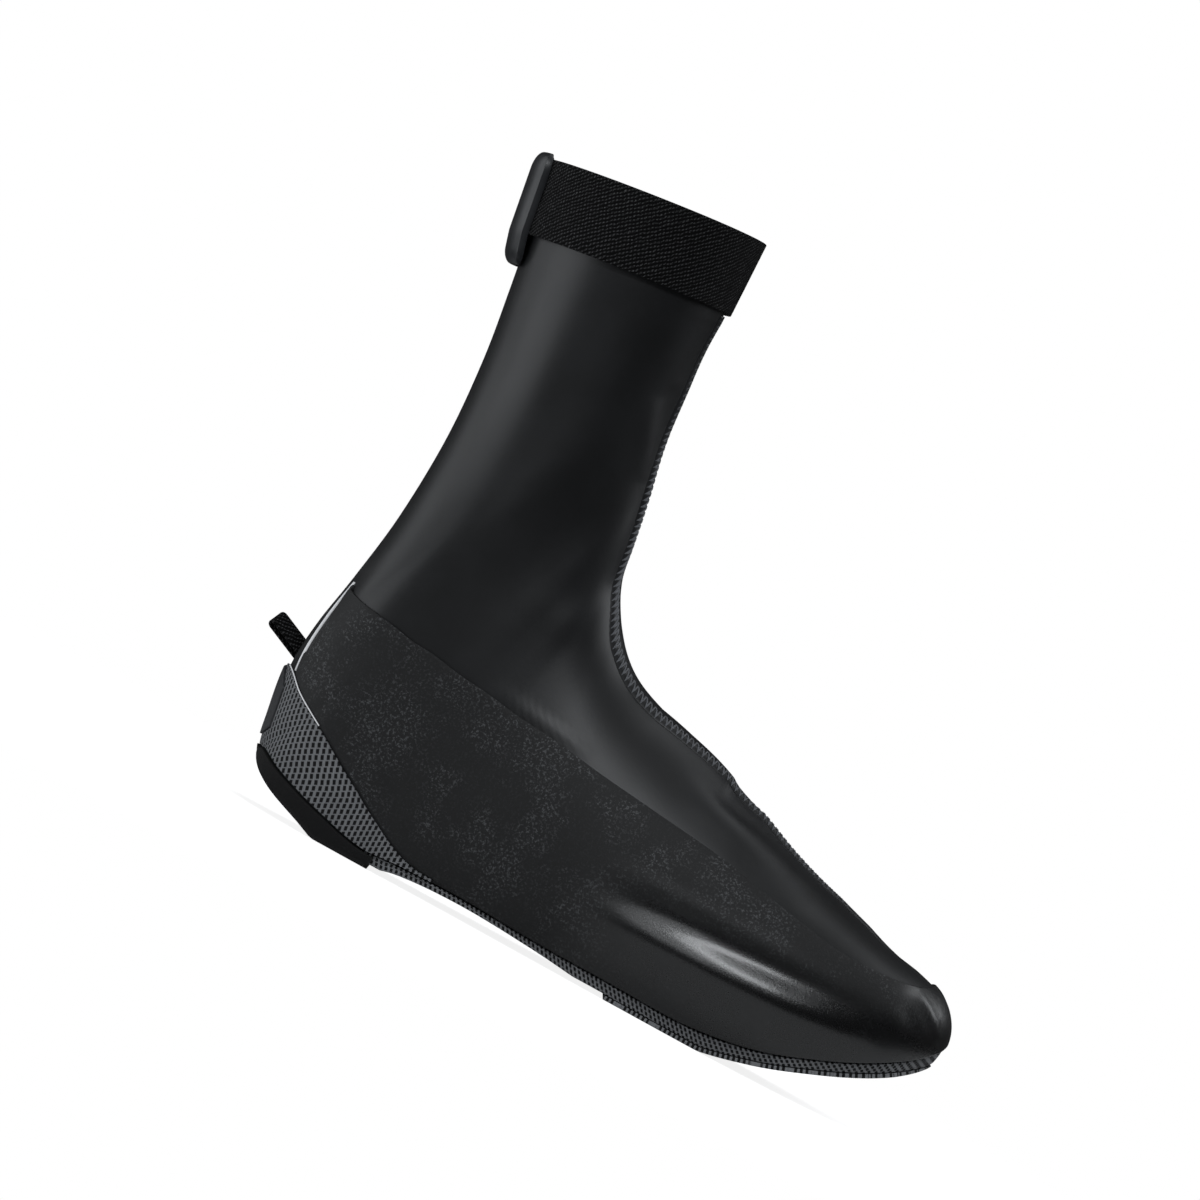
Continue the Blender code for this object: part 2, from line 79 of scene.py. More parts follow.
# Sections of the last from the toe, under the sole, round the heel and up to the collar.
# under: its lowest or rearmost point, over: its top or front point, as X from the heel and Z from the floor.
# lateral, medial: widest half widths. middle: sideways place of the centre line.
# widest: share of the section's height with that width. foot: squared share of it that the underside takes.
# low, high: how much fuller than an ellipse the section is below and above its widest place. bow: swell.
SECTION_COLUMNS = "under_x under_z over_x over_z lateral medial middle widest foot low high bow".split()
SECTIONS = np.array((
    (300.0, 39.5, 290.5, 60.5, 0.0, 0.0, 9.0, 0.44, 0.60, 0.00, 0.12, 4.5),
    (297.4, 36.3, 287.3, 64.0, 14.5, 14.0, 9.0, 0.43, 0.62, 0.00, 0.14, 4.0),
    (289.7, 30.8, 277.8, 67.2, 27.8, 27.0, 8.8, 0.42, 0.65, 0.00, 0.14, 2.5),
    (276.8, 23.5, 260.0, 70.3, 39.0, 37.0, 8.0, 0.40, 0.68, 0.00, 0.12, 1.0),
    (258.5, 15.5, 237.5, 77.2, 46.5, 43.5, 6.8, 0.37, 0.70, 0.00, 0.05, 0.0),
    (234.5, 7.0, 211.5, 86.0, 50.5, 47.5, 5.0, 0.34, 0.72, 0.00, -0.03, 0.0),
    (206.0, 1.0, 182.5, 97.5, 51.0, 48.0, 3.5, 0.32, 0.73, 0.00, -0.10, 0.0),
    (172.5, 1.0, 152.0, 106.0, 47.5, 43.5, 2.0, 0.31, 0.73, 0.00, -0.16, 0.0),
    (139.0, 3.8, 125.5, 115.5, 43.5, 39.0, 0.5, 0.31, 0.73, 0.00, -0.18, 0.0),
    (106.5, 5.2, 110.0, 130.0, 40.0, 36.5, 0.0, 0.33, 0.74, 0.00, -0.16, 0.0),
    (79.0, 3.6, 102.0, 146.0, 37.5, 36.0, 0.0, 0.36, 0.75, 0.03, -0.10, 0.0),
    (56.5, -1.5, 98.5, 161.0, 36.5, 36.0, 0.0, 0.40, 0.73, 0.06, -0.05, 0.0),
    (34.0, 5.6, 96.0, 173.5, 36.5, 36.0, 0.0, 0.43, 0.57, 0.10, 0.00, 0.0),
    (17.2, 12.2, 94.3, 183.0, 36.5, 36.5, 0.0, 0.44, 0.29, 0.14, 0.00, 0.0),
    (8.8, 20.0, 92.8, 191.0, 36.5, 36.5, 0.0, 0.45, 0.00, 0.17, 0.00, 0.0),
    (5.3, 35.0, 91.5, 198.5, 36.5, 36.5, 0.0, 0.46, -0.29, 0.18, 0.00, 0.0),
    (2.5, 55.0, 90.3, 206.0, 36.8, 36.8, 0.0, 0.47, -0.57, 0.17, 0.00, 0.0),
    (3.8, 74.5, 89.2, 213.5, 37.0, 37.0, 0.0, 0.48, -0.70, 0.15, 0.00, 0.0),
    (7.8, 97.0, 88.2, 221.0, 36.8, 36.8, 0.0, 0.49, -0.70, 0.12, 0.00, 0.0),
    (12.0, 127.0, 87.2, 229.0, 36.5, 36.5, 0.0, 0.50, -0.70, 0.09, 0.00, 0.0),
    (13.5, 163.0, 86.4, 236.5, 36.8, 36.8, 0.0, 0.50, -0.70, 0.06, 0.02, 0.0),
    (11.3, 197.0, 86.0, 243.5, 37.8, 37.8, 0.0, 0.50, -0.70, 0.04, 0.03, 0.0),
    (7.3, 225.0, 86.0, 250.5, 39.0, 39.0, 0.0, 0.50, -0.70, 0.03, 0.03, 0.0),
    (3.5, 248.0, 86.0, 258.0, 40.2, 40.2, 0.0, 0.50, -0.70, 0.02, 0.03, 0.0),
    (-1.3, 277.0, 85.0, 288.0, 41.5, 41.5, 0.0, 0.50, -0.70, 0.02, 0.03, 0.0),
))

# Named places along the sections
PAD_TOE, PAD_REAR, COUNTER_FRONT, HEEL_PAD_FRONT = 2 / 3, 7.0, 9.5, 10.5
BASE_END, HEEL, HEEL_PAD_END, COUNTER_TOP = 13 + 2 / 3, 14.0, 14 + 1 / 3, 16.0
STRIP_LOW, STRIP_TOP, PIPING_LOW, PIPING_TOP = 14.45, 15.93, 16.0, 17.9
SEAM_TOE, PANEL_BACK, SEAM_TOP, CUFF_LOW, COLLAR, CUFF_TOP = 2.6, 17.6, 22.92, 23.0, 24.0, 24.05
TAB_LOW, TAB_TOP, TAB_CORNER = 22.45, 24.12, 0.25

# How far to the lateral side of the ridge the middle of the front seam runs, in millimetres, at these places
SEAM_PLACES = (SEAM_TOE, 6.0, 9.0, 12.0, SEAM_TOP)
SEAM_ASIDE = (4.0, 11.0, 12.0, 8.0, 6.0)

# Turns round a section, from 0 at its lower end or the centre back to 1 at its ridge, and shares of them
STRIP_TURN, PIPING_TURN, TAB_TURN, LEAST_TURN = 0.085, 0.1, 0.09, 0.01
STRIP_SHARE, TAB_ROUND, WIDEST_ROUND = 0.7, 0.25, 0.4

# Heights above the floor where pieces end on each of those sections, up to the piping's top;
# from ball to toe the rand's edge is 2 to 3 mm lower than in the solids
EDGE_COLUMNS = "rand heel_pad counter panel".split()
EDGES = np.array((
    (44.8, 0.0, 0.0, 72.0),
    (40.7, 0.0, 0.0, 67.0),
    (34.4, 0.0, 0.0, 62.0),
    (26.9, 0.0, 0.0, 59.5),
    (18.8, 0.0, 0.0, 60.0),
    (10.5, 0.0, 0.0, 64.0),
    (6.2, 0.0, 0.0, 69.5),
    (6.2, 0.0, 0.0, 73.0),
    (6.2, 0.0, 6.2, 76.0),
    (7.2, 0.0, 7.2, 79.0),
    (6.8, 4.5, 10.0, 80.5),
    (5.5, 6.2, 18.5, 82.5),
    (9.2, 11.4, 29.0, 84.0),
    (15.4, 17.0, 37.5, 86.0),
    (20.0, 21.5, 42.5, 86.5),
    (20.0, 21.5, 47.5, 88.0),
    (20.0, 21.5, 55.0, 89.5),
    (20.0, 21.5, 55.0, 91.0),
    (20.0, 21.5, 55.0, 94.0),
))

LATERAL, MEDIAL, BOTH = -1, 1, 0

# Creases and swells: side, rise (below 0 a trough), half width, and points as X from the heel
# and Z from the floor, all in millimetres; each runs out towards its ends
FOLDS = (
    (LATERAL, -1.9, 6.0, ((142, 39), (166, 40), (190, 41.5), (214, 42.5), (236, 43.5), (256, 45), (276, 49))),
    (LATERAL, 1.2, 6.0,
     ((136, 27), (164, 28), (190, 29.5), (214, 30.5), (236, 31.5), (256, 33.5), (276, 39))),
    (LATERAL, 1.2, 12.0, ((136, 22), (164, 23), (190, 24), (214, 25), (238, 27), (260, 31), (278, 38))),
    (LATERAL, 0.8, 7.0, ((226, 72), (246, 69), (264, 67), (280, 64))),
    (LATERAL, 0.9, 1.2, ((280, 60), (286, 56.5), (292, 52), (297, 46))),
    (LATERAL, -0.8, 4.5, ((274, 56), (281, 51), (287, 44))),
    (BOTH, 1.5, 10.0, ((140, 110), (156, 105), (168, 102), (180, 99))),
    (BOTH, -1.0, 6.0, ((176, 97), (184, 94), (194, 92))),
    (LATERAL, -0.9, 2.8, ((158, 96), (178, 91), (198, 87), (216, 82.5), (236, 78))),
    (LATERAL, 0.7, 5.0, ((160, 87), (182, 84), (204, 79), (222, 74))),
    (LATERAL, 0.8, 1.5, ((76, 86), (88, 84.5), (100, 83), (112, 82), (124, 80.5))),
    (BOTH, -0.8, 3.5, ((83, 224), (86, 212), (90, 198), (95, 184))),
    (BOTH, 0.7, 4.5, ((78, 216), (81, 206), (85, 196), (89, 184))),
    (LATERAL, -0.8, 9.0, ((106, 156), (100, 148), (90, 136), (76, 126))),
    (LATERAL, 0.6, 8.0, ((108, 138), (98, 126), (82, 116))),
    (MEDIAL, -2.0, 6.5, ((184, 50), (206, 56), (230, 60), (256, 63), (276, 61))),
    (MEDIAL, 1.4, 10.0, ((164, 38), (186, 40), (212, 41), (242, 44))),
    (MEDIAL, -0.9, 8.0, ((106, 150), (100, 141), (88, 129), (74, 121))),
    (MEDIAL, -0.7, 4.5, ((166, 92), (182, 87), (204, 80), (230, 73))),
)

# How softly a crease of one side runs out at the middle of the shoe, and how it runs out at its ends
FOLD_FADE, FOLD_END = 3.0, 0.8

# The middle of the forefoot for the creases: how far aside it lies at two places along the shoe
MIDDLE_ALONG, MIDDLE_ASIDE = (200, 290), (2.5, 9.0)


def along(table, columns, name, place):
    """The named column read smoothly at any place along the sections; widths change sign beyond the toe."""
    rows = table[:, columns.index(name)]
    beyond_toe = -rows[1] if name in ("lateral", "medial") else rows[1]
    rows = np.concatenate(([beyond_toe], rows, [2 * rows[-1] - rows[-2]]))
    place = np.asarray(place, float)
    first = np.clip(np.floor(place).astype(int), 0, len(rows) - 4)
    t = place - first
    a, b, c, d = (rows[first + step] for step in range(4))
    return 0.5 * (2 * b + (c - a) * t + (2 * a - 5 * b + 4 * c - d) * t**2 + (3 * b - a - 3 * c + d) * t**3)


def section(name, place):
    """A measure of the last at a place along its sections."""
    return along(SECTIONS, SECTION_COLUMNS, name, place)


def edge(name, place):
    """The height above the floor where a piece ends."""
    return along(EDGES, EDGE_COLUMNS, name, np.minimum(place, len(EDGES) - 1))


def under_height(place):
    return np.maximum(section("under_z", place), BASE_FLOOR)


def foot_angle(place):
    """Where round the lower half of a section its underside ends; none behind the heel."""
    return np.arcsin(np.sqrt(np.clip(section("foot", place), 0.0, 0.95)))


def round_at_height(place, height):
    """How far round a section, from 0 at its lower end to 1 at its ridge, a height above the floor lies."""
    low = under_height(place)
    share = np.clip((height - low) / (section("over_z", place) - low), 0, 1)
    widest = section("widest", place)
    start = foot_angle(place)
    lower = np.arccos(np.clip((1 - share / widest) * np.cos(start), -1, 1))
    lower = (lower - start) / (math.pi / 2 - start)
    upper = np.arcsin(np.clip((share - widest) / (1 - widest), 0, 1)) / (math.pi / 2)
    return np.where(share < widest, WIDEST_ROUND * lower, WIDEST_ROUND + (1 - WIDEST_ROUND) * upper)


def round_at_ridge(place, aside):
    """How far round a section lies what is this far to the lateral side of its ridge."""
    width = section("lateral", place) * (1 + section("high", place))
    return WIDEST_ROUND + (1 - WIDEST_ROUND) * np.arccos(aside / width) / (math.pi / 2)


# Where the ridge ends at the toe the sections leave a dent, which is filled: how steep the dent is, how much
# wider than high, and in millimetres the round that fills it and how far that reaches over and along the toe
RIDGE_END = (290.5, 9.0, 60.5)
TIP_FILL, TIP_FLAT, TIP_ROUND, TIP_REACH, TIP_DEPTH = 0.55, 1.8, 5.0, 10.0, 14.0

# The place whose normal the ridge's end takes, as it has none of its own
TIP_BACK = 0.05


def skin(place, turn, side):
    """The outer face of the last, in millimetres, at a place along its sections and a turn round one side."""
    side = np.where((turn > 1) | (turn < 0), -side, side)
    turn = np.where(turn > 1, 2 - turn, np.abs(turn))
    widest = section("widest", place)
    start = foot_angle(place)
    low = start + (math.pi / 2 - start) * np.clip(turn / WIDEST_ROUND, 0, 1)
    high = math.pi / 2 * np.clip((turn - WIDEST_ROUND) / (1 - WIDEST_ROUND), 0, 1)
    share_low = widest * (1 - np.cos(low) / np.cos(start))
    share = np.where(turn < WIDEST_ROUND, share_low, widest + (1 - widest) * np.sin(high))
    width_low = np.sin(low) * (1 + section("low", place) * np.cos(low) ** 2)
    width_high = np.cos(high) * (1 + section("high", place) * np.sin(high) ** 2)
    width = np.where(turn < WIDEST_ROUND, width_low, width_high)
    width = width * np.where(side == LATERAL, section("lateral", place), section("medial", place))
    lean_x = section("over_x", place) - section("under_x", place)
    lean_z = section("over_z", place) - under_height(place)
    swell = 4 * share * (1 - share) * section("bow", place) / np.hypot(lean_x, lean_z)
    x = section("under_x", place) + lean_x * share + swell * lean_z
    z = under_height(place) + lean_z * share - swell * lean_x
    y = section("middle", place) + side * width
    away = np.hypot(z - RIDGE_END[2], (y - RIDGE_END[1]) / TIP_FLAT)
    near = np.exp(-((x - RIDGE_END[0]) / TIP_DEPTH) ** 2 - (away / TIP_REACH) ** 2)
    x = x + TIP_FILL * (np.hypot(away, TIP_ROUND) - away) * near
    return np.stack(np.broadcast_arrays(x, y, z), axis=-1)


def outward(place, turn, side):
    """Unit normals of the last; where its ridge ends at the toe, that of a point just behind."""
    step = 0.004
    place = np.where(np.abs(1 - turn) < LEAST_TURN, np.maximum(place, TIP_BACK), place)
    below = np.where(place < HEEL, np.maximum(turn - step, 0), turn - step)
    run = skin(place + step, turn, side) - skin(place - step, turn, side)
    rise = skin(place, turn + step, side) - skin(place, below, side)
    out = np.cross(rise, run) * np.asarray(-side)[..., None]
    return out / np.maximum(np.linalg.norm(out, axis=-1, keepdims=True), 1e-9)


def fold_height(points):
    """How far the creases raise or lower the skin at each point."""
    height = np.zeros(points.shape[:-1])
    spots = points[..., [0, 2]]
    from_middle = points[..., 1] - np.interp(points[..., 0], MIDDLE_ALONG, MIDDLE_ASIDE)
    for side, rise, half_width, route in FOLDS:
        route = np.array(route, float)
        nearest = np.full(height.shape, np.inf)
        share_along = np.zeros(height.shape)
        for i, (start, end) in enumerate(zip(route, route[1:])):
            run = end - start
            share = np.clip(((spots - start) @ run) / (run @ run), 0, 1)
            away = np.linalg.norm(spots - start - share[..., None] * run, axis=-1)
            share_along = np.where(away < nearest, (i + share) / (len(route) - 1), share_along)
            nearest = np.minimum(nearest, away)
        fade = 1.0 if side == BOTH else 1 / (1 + np.exp(-side * from_middle / FOLD_FADE))
        fade = fade * np.sin(math.pi * share_along) ** FOLD_END
        height += rise * fade * np.exp(-((nearest / half_width) ** 2))
    return height


def cover(place, turn, side, lift=0.0):
    """Points of the creased skin, raised by lift."""
    place, turn, side = np.broadcast_arrays(np.asarray(place, float), turn, side)
    points = skin(place, turn, side)
    return points + outward(place, turn, side) * np.asarray(fold_height(points) + lift)[..., None]


# The solids stand a little off the sections' own origin: over the frame's, by the same shift for all
tip = skin(np.linspace(0, 0.5, 40)[:, None], np.linspace(0, WIDEST_ROUND, 40), LATERAL)[..., 0].max()
loop_low, loop_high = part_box("pull_loop")
SHIFT = np.array((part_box("outsole")[1].x / MM - tip, (loop_low.y + loop_high.y) / 2 / MM, 0.0))


def spread(start, end, count):
    """Even steps from start to end, with both of them."""
    return np.linspace(start, end, count + 1)


def half(spots, low, high, count, side, lift=0.0):
    """Rows of points, one for each place, from one turn round the section to another."""
    turns = low[:, None] + (high - low)[:, None] * spread(0, 1, count)
    return cover(spots[:, None], turns, side, lift)


def over_ridge(spots, low, count, lift=0.0):
    """Rows from a turn on the lateral side over the ridge to the same turn on the medial side."""
    top = np.ones(len(spots))
    lateral = half(spots, low, top, count, LATERAL, lift)
    medial = half(spots, top, low, count, MEDIAL, lift)
    return np.concatenate((lateral, medial[:, 1:]), axis=1)


def both_sides(spots, low, high, count, lift=0.0):
    """Rows on the medial and the lateral side."""
    return [half(spots, high, low, count, MEDIAL, lift), half(spots, low, high, count, LATERAL, lift)]


def lengths(grid):
    """How far each point lies along the columns and along the rows of a grid."""
    down = np.linalg.norm(np.diff(grid, axis=0), axis=-1)
    over = np.linalg.norm(np.diff(grid, axis=1), axis=-1)
    middle = grid.shape[1] // 2
    u = np.concatenate(([0.0], np.cumsum(down.mean(axis=1))))[:, None] + 0 * grid[..., 0]
    v = np.concatenate((np.zeros((len(grid), 1)), np.cumsum(over, axis=1)), axis=1)
    return np.stack((u, v - v[:, middle:middle + 1], 0 * u), axis=-1)


def mesh_piece(name, points, faces, laid, finishes, finish_of=None):
    """An object of points in millimetres, each with its place in the cloth as the attribute laid."""
    mesh = bpy.data.meshes.new(name)
    mesh.from_pydata((points + SHIFT) * MM, [], faces)
    mesh.shade_smooth()
    for finish in finishes:
        mesh.materials.append(finish)
    if finish_of is not None:
        mesh.polygons.foreach_set("material_index", finish_of)
    where = mesh.attributes.new("laid", "FLOAT_VECTOR", "POINT")
    where.data.foreach_set("vector", np.asarray(laid, np.float32).ravel())
    mesh.validate()
    piece = bpy.data.objects.new(name, mesh)
    bpy.context.scene.collection.objects.link(piece)
    return piece


def closed_sheet(name, outer, inner, laid, finishes):
    """A closed solid between outer and inner grids of points of one layout; rims join their free edges."""
    starts = np.cumsum([0] + [grid.shape[0] * grid.shape[1] for grid in outer])
    out = np.concatenate([grid.reshape(-1, 3) for grid in outer])
    back = np.concatenate([grid.reshape(-1, 3) for grid in inner])
    lay = np.concatenate([grid.reshape(-1, 3) for grid in laid])
    _, first, index = np.unique(np.round(out, 4), axis=0, return_index=True, return_inverse=True)
    index = index.ravel()
    quads = []
    for start, grid in zip(starts, outer):
        at = start + np.arange(grid.shape[0] * grid.shape[1]).reshape(grid.shape[:2])
        corners = (at[:-1, :-1], at[:-1, 1:], at[1:, 1:], at[1:, :-1])
        quads.append(np.stack([index[corner] for corner in corners], axis=-1).reshape(-1, 4))
    front = []
    for quad in np.concatenate(quads).tolist():
        ring = [a for a, b in zip(quad, quad[1:] + quad[:1]) if a != b]
        if len(set(ring)) == len(ring) > 2:
            front.append(ring)
    count = len(first)
    directed = {(a, b) for ring in front for a, b in zip(ring, ring[1:] + ring[:1])}
    rims = [(b, a, a + count, b + count) for a, b in directed if (b, a) not in directed]
    rear = [[corner + count for corner in reversed(ring)] for ring in front]
    points = np.concatenate((out[first], back[first]))
    finish_of = None
    if len(finishes) > 1:
        finish_of = np.repeat((0, 1, 0), (len(front), len(rear), len(rims)))
    faces = front + rear + sorted(rims)
    return mesh_piece(name, points, faces, np.tile(lay[first], (2, 1)), finishes, finish_of)


def under_points(place, share):
    """Points across the underside, from the medial feather edge at share 0 to the lateral one at share 1."""
    medial = skin(place, np.zeros(1), np.full(1, MEDIAL))
    lateral = skin(place, np.zeros(1), np.full(1, LATERAL))
    return medial + (lateral - medial) * share[..., None]


def downward(place):
    """Unit normals of the underside, which turns up behind the heel."""
    step = 0.01
    run_x = section("under_x", place + step) - section("under_x", place - step)
    run_z = under_height(place + step) - under_height(place - step)
    out = np.stack((-run_z, 0 * run_z, run_x), axis=-1)
    return out / np.linalg.norm(out, axis=-1, keepdims=True)


def under_foot(spots, high, side_count, count, lift):
    """Rows from a turn on the medial side, under the foot or round its back, to that on the lateral side."""
    place = spots[:, None]
    turns = high[:, None] * spread(0, 1, side_count)[1:]
    medial = cover(place, turns[:, ::-1], MEDIAL, lift)
    lateral = cover(place, turns, LATERAL, lift)
    down = downward(place)
    edges = []
    for side in (MEDIAL, LATERAL):
        out = down + outward(place, np.zeros((1, 1)), np.full((1, 1), side))
        out = out / np.linalg.norm(out, axis=-1, keepdims=True)
        edges.append(skin(place, np.zeros((1, 1)), np.full((1, 1), side)) + out * lift)
    shares = spread(0, 1, count)[1:-1]
    bottom = under_points(place, shares) + down * lift
    return np.concatenate((medial, edges[0], bottom, edges[1], lateral), axis=1)


class Socket:
    """A socket of a finish's nodes. Arithmetic on it adds Math nodes."""

    def __init__(self, finish, socket):
        self.finish = finish
        self.socket = socket

    def math(self, operation, *others):
        return self.finish.node("Math", {"operation": operation}, dict(enumerate((self, *others))))

    def __add__(self, other):
        return self.math("ADD", other)

    def __sub__(self, other):
        return self.math("SUBTRACT", other)

    def __rsub__(self, other):
        return self.finish.node("Math", {"operation": "SUBTRACT"}, {0: other, 1: self})

    def __mul__(self, other):
        return self.math("MULTIPLY", other)

    def __truediv__(self, other):
        return self.math("DIVIDE", other)

    __radd__ = __add__
    __rmul__ = __mul__

    def fraction(self):
        return self.math("FRACT")

    def whole(self):
        return self.math("FLOOR")

    def size(self):
        return self.math("ABSOLUTE")

    def wave(self):
        """0 to 1 and back once for each whole number."""
        return self.finish.node("Math", {"operation": "SINE"}, {0: self * (2 * math.pi)}) * 0.5 + 0.5

    def above(self, low, high):
        """0 up to low, 1 from high, and a smooth rise between."""
        sockets = {"Value": self, "From Min": low, "From Max": high}
        return self.finish.node("MapRange", {"interpolation_type": "SMOOTHSTEP"}, sockets)


class Finish:
    """A material of one Principled shader, and the nodes that feed it."""

    def __init__(self, name, **fixed):
        self.material = bpy.data.materials.new(name)
        self.material.use_nodes = True
        self.tree = self.material.node_tree
        self.shader = self.tree.nodes["Principled BSDF"]
        for socket, value in fixed.items():
            self.shader.inputs[socket.replace("_", " ").title().replace("Ior", "IOR")].default_value = value

    def feed(self, socket, value):
        if isinstance(value, Socket):
            self.tree.links.new(value.socket, socket)
        elif isinstance(value, tuple) and len(value) == 3 and socket.type == "RGBA":
            socket.default_value = (*value, 1.0)
        else:
            socket.default_value = value

    def node(self, kind, settings=None, sockets=None, output=0):
        made = self.tree.nodes.new("ShaderNode" + kind)
        for setting, value in (settings or {}).items():
            setattr(made, setting, value)
        for socket, value in (sockets or {}).items():
            self.feed(made.inputs[socket], value)
        return Socket(self, made.outputs[output])

    def at(self):
        """Where on the shoe, in metres."""
        return self.node("TexCoord", output="Object")

    def split(self, vector):
        return [self.node("SeparateXYZ", sockets={0: vector}, output=axis) for axis in range(3)]

    def laid(self):
        """How far along and across its own piece, in millimetres."""
        return self.split(self.node("Attribute", {"attribute_name": "laid"}, output="Vector"))

    def noise(self, per_metre, detail=2.0, roughness=0.5):
        sockets = {"Vector": self.at(), "Scale": per_metre, "Detail": detail, "Roughness": roughness}
        return self.node("TexNoise", sockets=sockets)

    def cells(self, per_metre):
        return self.node("TexVoronoi", sockets={"Vector": self.at(), "Scale": per_metre}, output="Distance")

    def blend(self, share, low, high):
        """A colour between low and high."""
        return self.node("Mix", {"data_type": "RGBA"}, {0: share, 6: low, 7: high}, output=2)

    def bump(self, height, strength, depth_mm, over=None):
        sockets = {"Strength": strength, "Distance": depth_mm * MM, "Height": height}
        if over is not None:
            sockets["Normal"] = over
        return self.node("Bump", sockets=sockets)

    def done(self, **links):
        for socket, value in links.items():
            self.feed(self.shader.inputs[socket.replace("_", " ").title()], value)
        return self.material


# Where the coat is matt beside the heel's piping, and where the grained layer is glossy, as X and Z in metres
MATT_X, MATT_Z = (-0.136, -0.128), (0.096, 0.112)
GLOSS_X, GLOSS_Z, GLOSS_TIP = (0.005, 0.050), (0.042, 0.056), (0.124, 0.138)


def coated_stretch():
    """Satin coat over a stretch knit: nearly black, a little blue, clouded and very finely grained."""
    f = Finish("coated_stretch", coat_roughness=0.32, specular_ior_level=0.5)
    cloud = f.noise(28, 3.0, 0.55)
    grain = f.noise(2600, 2.0, 0.6)
    pores = f.noise(520, 3.0, 0.6)
    colour = f.blend(cloud.above(0.35, 0.68), (0.0066, 0.0070, 0.0080), (0.0100, 0.0106, 0.0120))
    fine = f.bump(grain, 0.10, 0.08)
    x, _, z = f.split(f.at())
    matt = (1 - x.above(*MATT_X)) * (1 - z.above(*MATT_Z))
    return f.done(base_color=colour, roughness=0.36 + 0.10 * cloud + 0.06 * grain + 0.42 * matt,
                  coat_weight=0.10 - 0.10 * matt, normal=f.bump(pores, 0.10, 0.25, fine))


def grained_layer():
    """Matt layer with a fine speckled grain, which gives way to a smooth gloss over the toe."""
    f = Finish("grained_layer", specular_ior_level=0.6, coat_roughness=0.20)
    x, _, z = f.split(f.at())
    tip = x.above(*GLOSS_TIP)
    toe = (x + 0.03 * f.noise(22, 2.0)).above(*GLOSS_X) * (1 - z.above(*GLOSS_Z) * (1 - 0.6 * tip))
    spark = f.noise(2300, 1.0)
    patch = f.noise(48, 3.0, 0.6).above(0.40, 0.62)
    grit = f.noise(1000, 3.0, 0.75)
    speck = grit.above(0.51, 0.64) * (0.12 + 0.88 * patch) * (1 - 0.85 * toe)
    colour = f.blend(speck, (0.0040, 0.0042, 0.0047), (0.0800, 0.0830, 0.0880))
    rough = 0.62 - 0.40 * toe + 0.10 * grit - 0.12 * speck
    return f.done(base_color=colour, roughness=rough, coat_weight=0.55 * toe,
                  normal=f.bump(grit, 0.40 - 0.10 * toe, 0.22, f.bump(spark, 0.55 * toe, 0.10)))


def dashes(f, along_mm, across_mm, pitch, row, slant):
    """Slanted dashes in staggered rows, 1 in their middles."""
    line = across_mm / row
    number = line.whole()
    down = line - number
    stagger = (number * 0.5).fraction()
    spot = (along_mm / pitch + stagger + slant * (down - 0.5)).fraction()
    thin = 1 - (spot - 0.5).size().above(0.20, 0.32)
    return thin * (1 - (down - 0.5).size().above(0.33, 0.48))


def woven_base(name="woven_base", pitch=2.45, row=2.1, slant=-0.32, grey=0.34):
    """Grey yarn with black slanted dashes where it dips; along its strands it is painted lighter and darker
    as shade, over uneven tone.
    """
    f = Finish(name, specular_ior_level=0.35)
    u, v, _ = f.laid()
    dash = dashes(f, u, v, pitch, row, slant)
    strand = (u / 0.42 + v / 0.9).wave()
    worn = f.noise(60, 2.0)
    fuzz = f.noise(3200, 2.0)
    # light: painted shade along the strands (strand), with real uneven tone from worn and fuzz.
    light = (0.55 + 0.45 * strand) * (0.72 + 0.4 * worn) * (0.75 + 0.5 * fuzz)
    dull = (grey * 0.30, grey * 0.31, grey * 0.33)
    bright = (grey, grey * 1.02, grey * 1.06)
    colour = f.blend(dash, f.blend(light.above(0.05, 1.1), dull, bright), (0.004, 0.004, 0.0045))
    height = (1 - dash) * 0.8 + 0.2 * strand
    return f.done(base_color=colour, roughness=0.62 + 0.25 * fuzz, normal=f.bump(height, 0.7, 0.28))


def grained_rubber():
    """Black, grainy and scuffed in patches."""
    f = Finish("grained_rubber", specular_ior_level=0.4)
    grit = f.noise(1300, 3.0, 0.7)
    scuff = f.noise(70, 3.0, 0.6).above(0.52, 0.74) * grit.above(0.45, 0.7)
    worn = 0.7 * scuff + 0.3 * grit.above(0.5, 0.75)
    colour = f.blend(worn, (0.0055, 0.0055, 0.0058), (0.020, 0.020, 0.021))
    return f.done(base_color=colour, roughness=0.70 + 0.2 * grit, normal=f.bump(grit, 0.7, 0.35))


def silver_strip():
    """Dull metallic tape with fine ribs across it; the ribs' tops are painted lighter as shade."""
    f = Finish("silver_strip", specular_ior_level=0.5)
    _, v, _ = f.laid()
    rib = (v / 1.1).wave()
    grit = f.noise(2200, 2.0)
    # The tone follows the ribs: painted shade, lighter on their tops, with grit as real uneven tone.
    shade = f.blend(0.6 * rib + 0.4 * grit, (0.030, 0.031, 0.034), (0.080, 0.083, 0.088))
    return f.done(base_color=shade, roughness=0.38 + 0.2 * grit, metallic=0.35 + 0.2 * rib,
                  normal=f.bump(rib + 0.4 * grit, 0.5, 0.2))


def reflective_white():
    """White beaded tape that glows a little: its white and its glow are painted highlights along glossy
    edges.
    """
    # The emission is painted light: the beads glow though they are no lamp.
    f = Finish("reflective_white", specular_ior_level=0.6, emission_strength=0.35)
    bead = f.cells(3800)
    soil = f.noise(120, 3.0)
    colour = f.blend(bead.above(0.15, 0.6) * 0.5 + soil * 0.4, (0.86, 0.87, 0.89), (0.55, 0.56, 0.58))
    return f.done(base_color=colour, emission_color=colour, roughness=0.28 + 0.25 * bead,
                  normal=f.bump(bead, 0.4, 0.12))


# The twill's ribs: how far apart in millimetres, and how steeply they rise along the band
RIB_PITCH, RIB_SLOPE = 1.9, 0.74


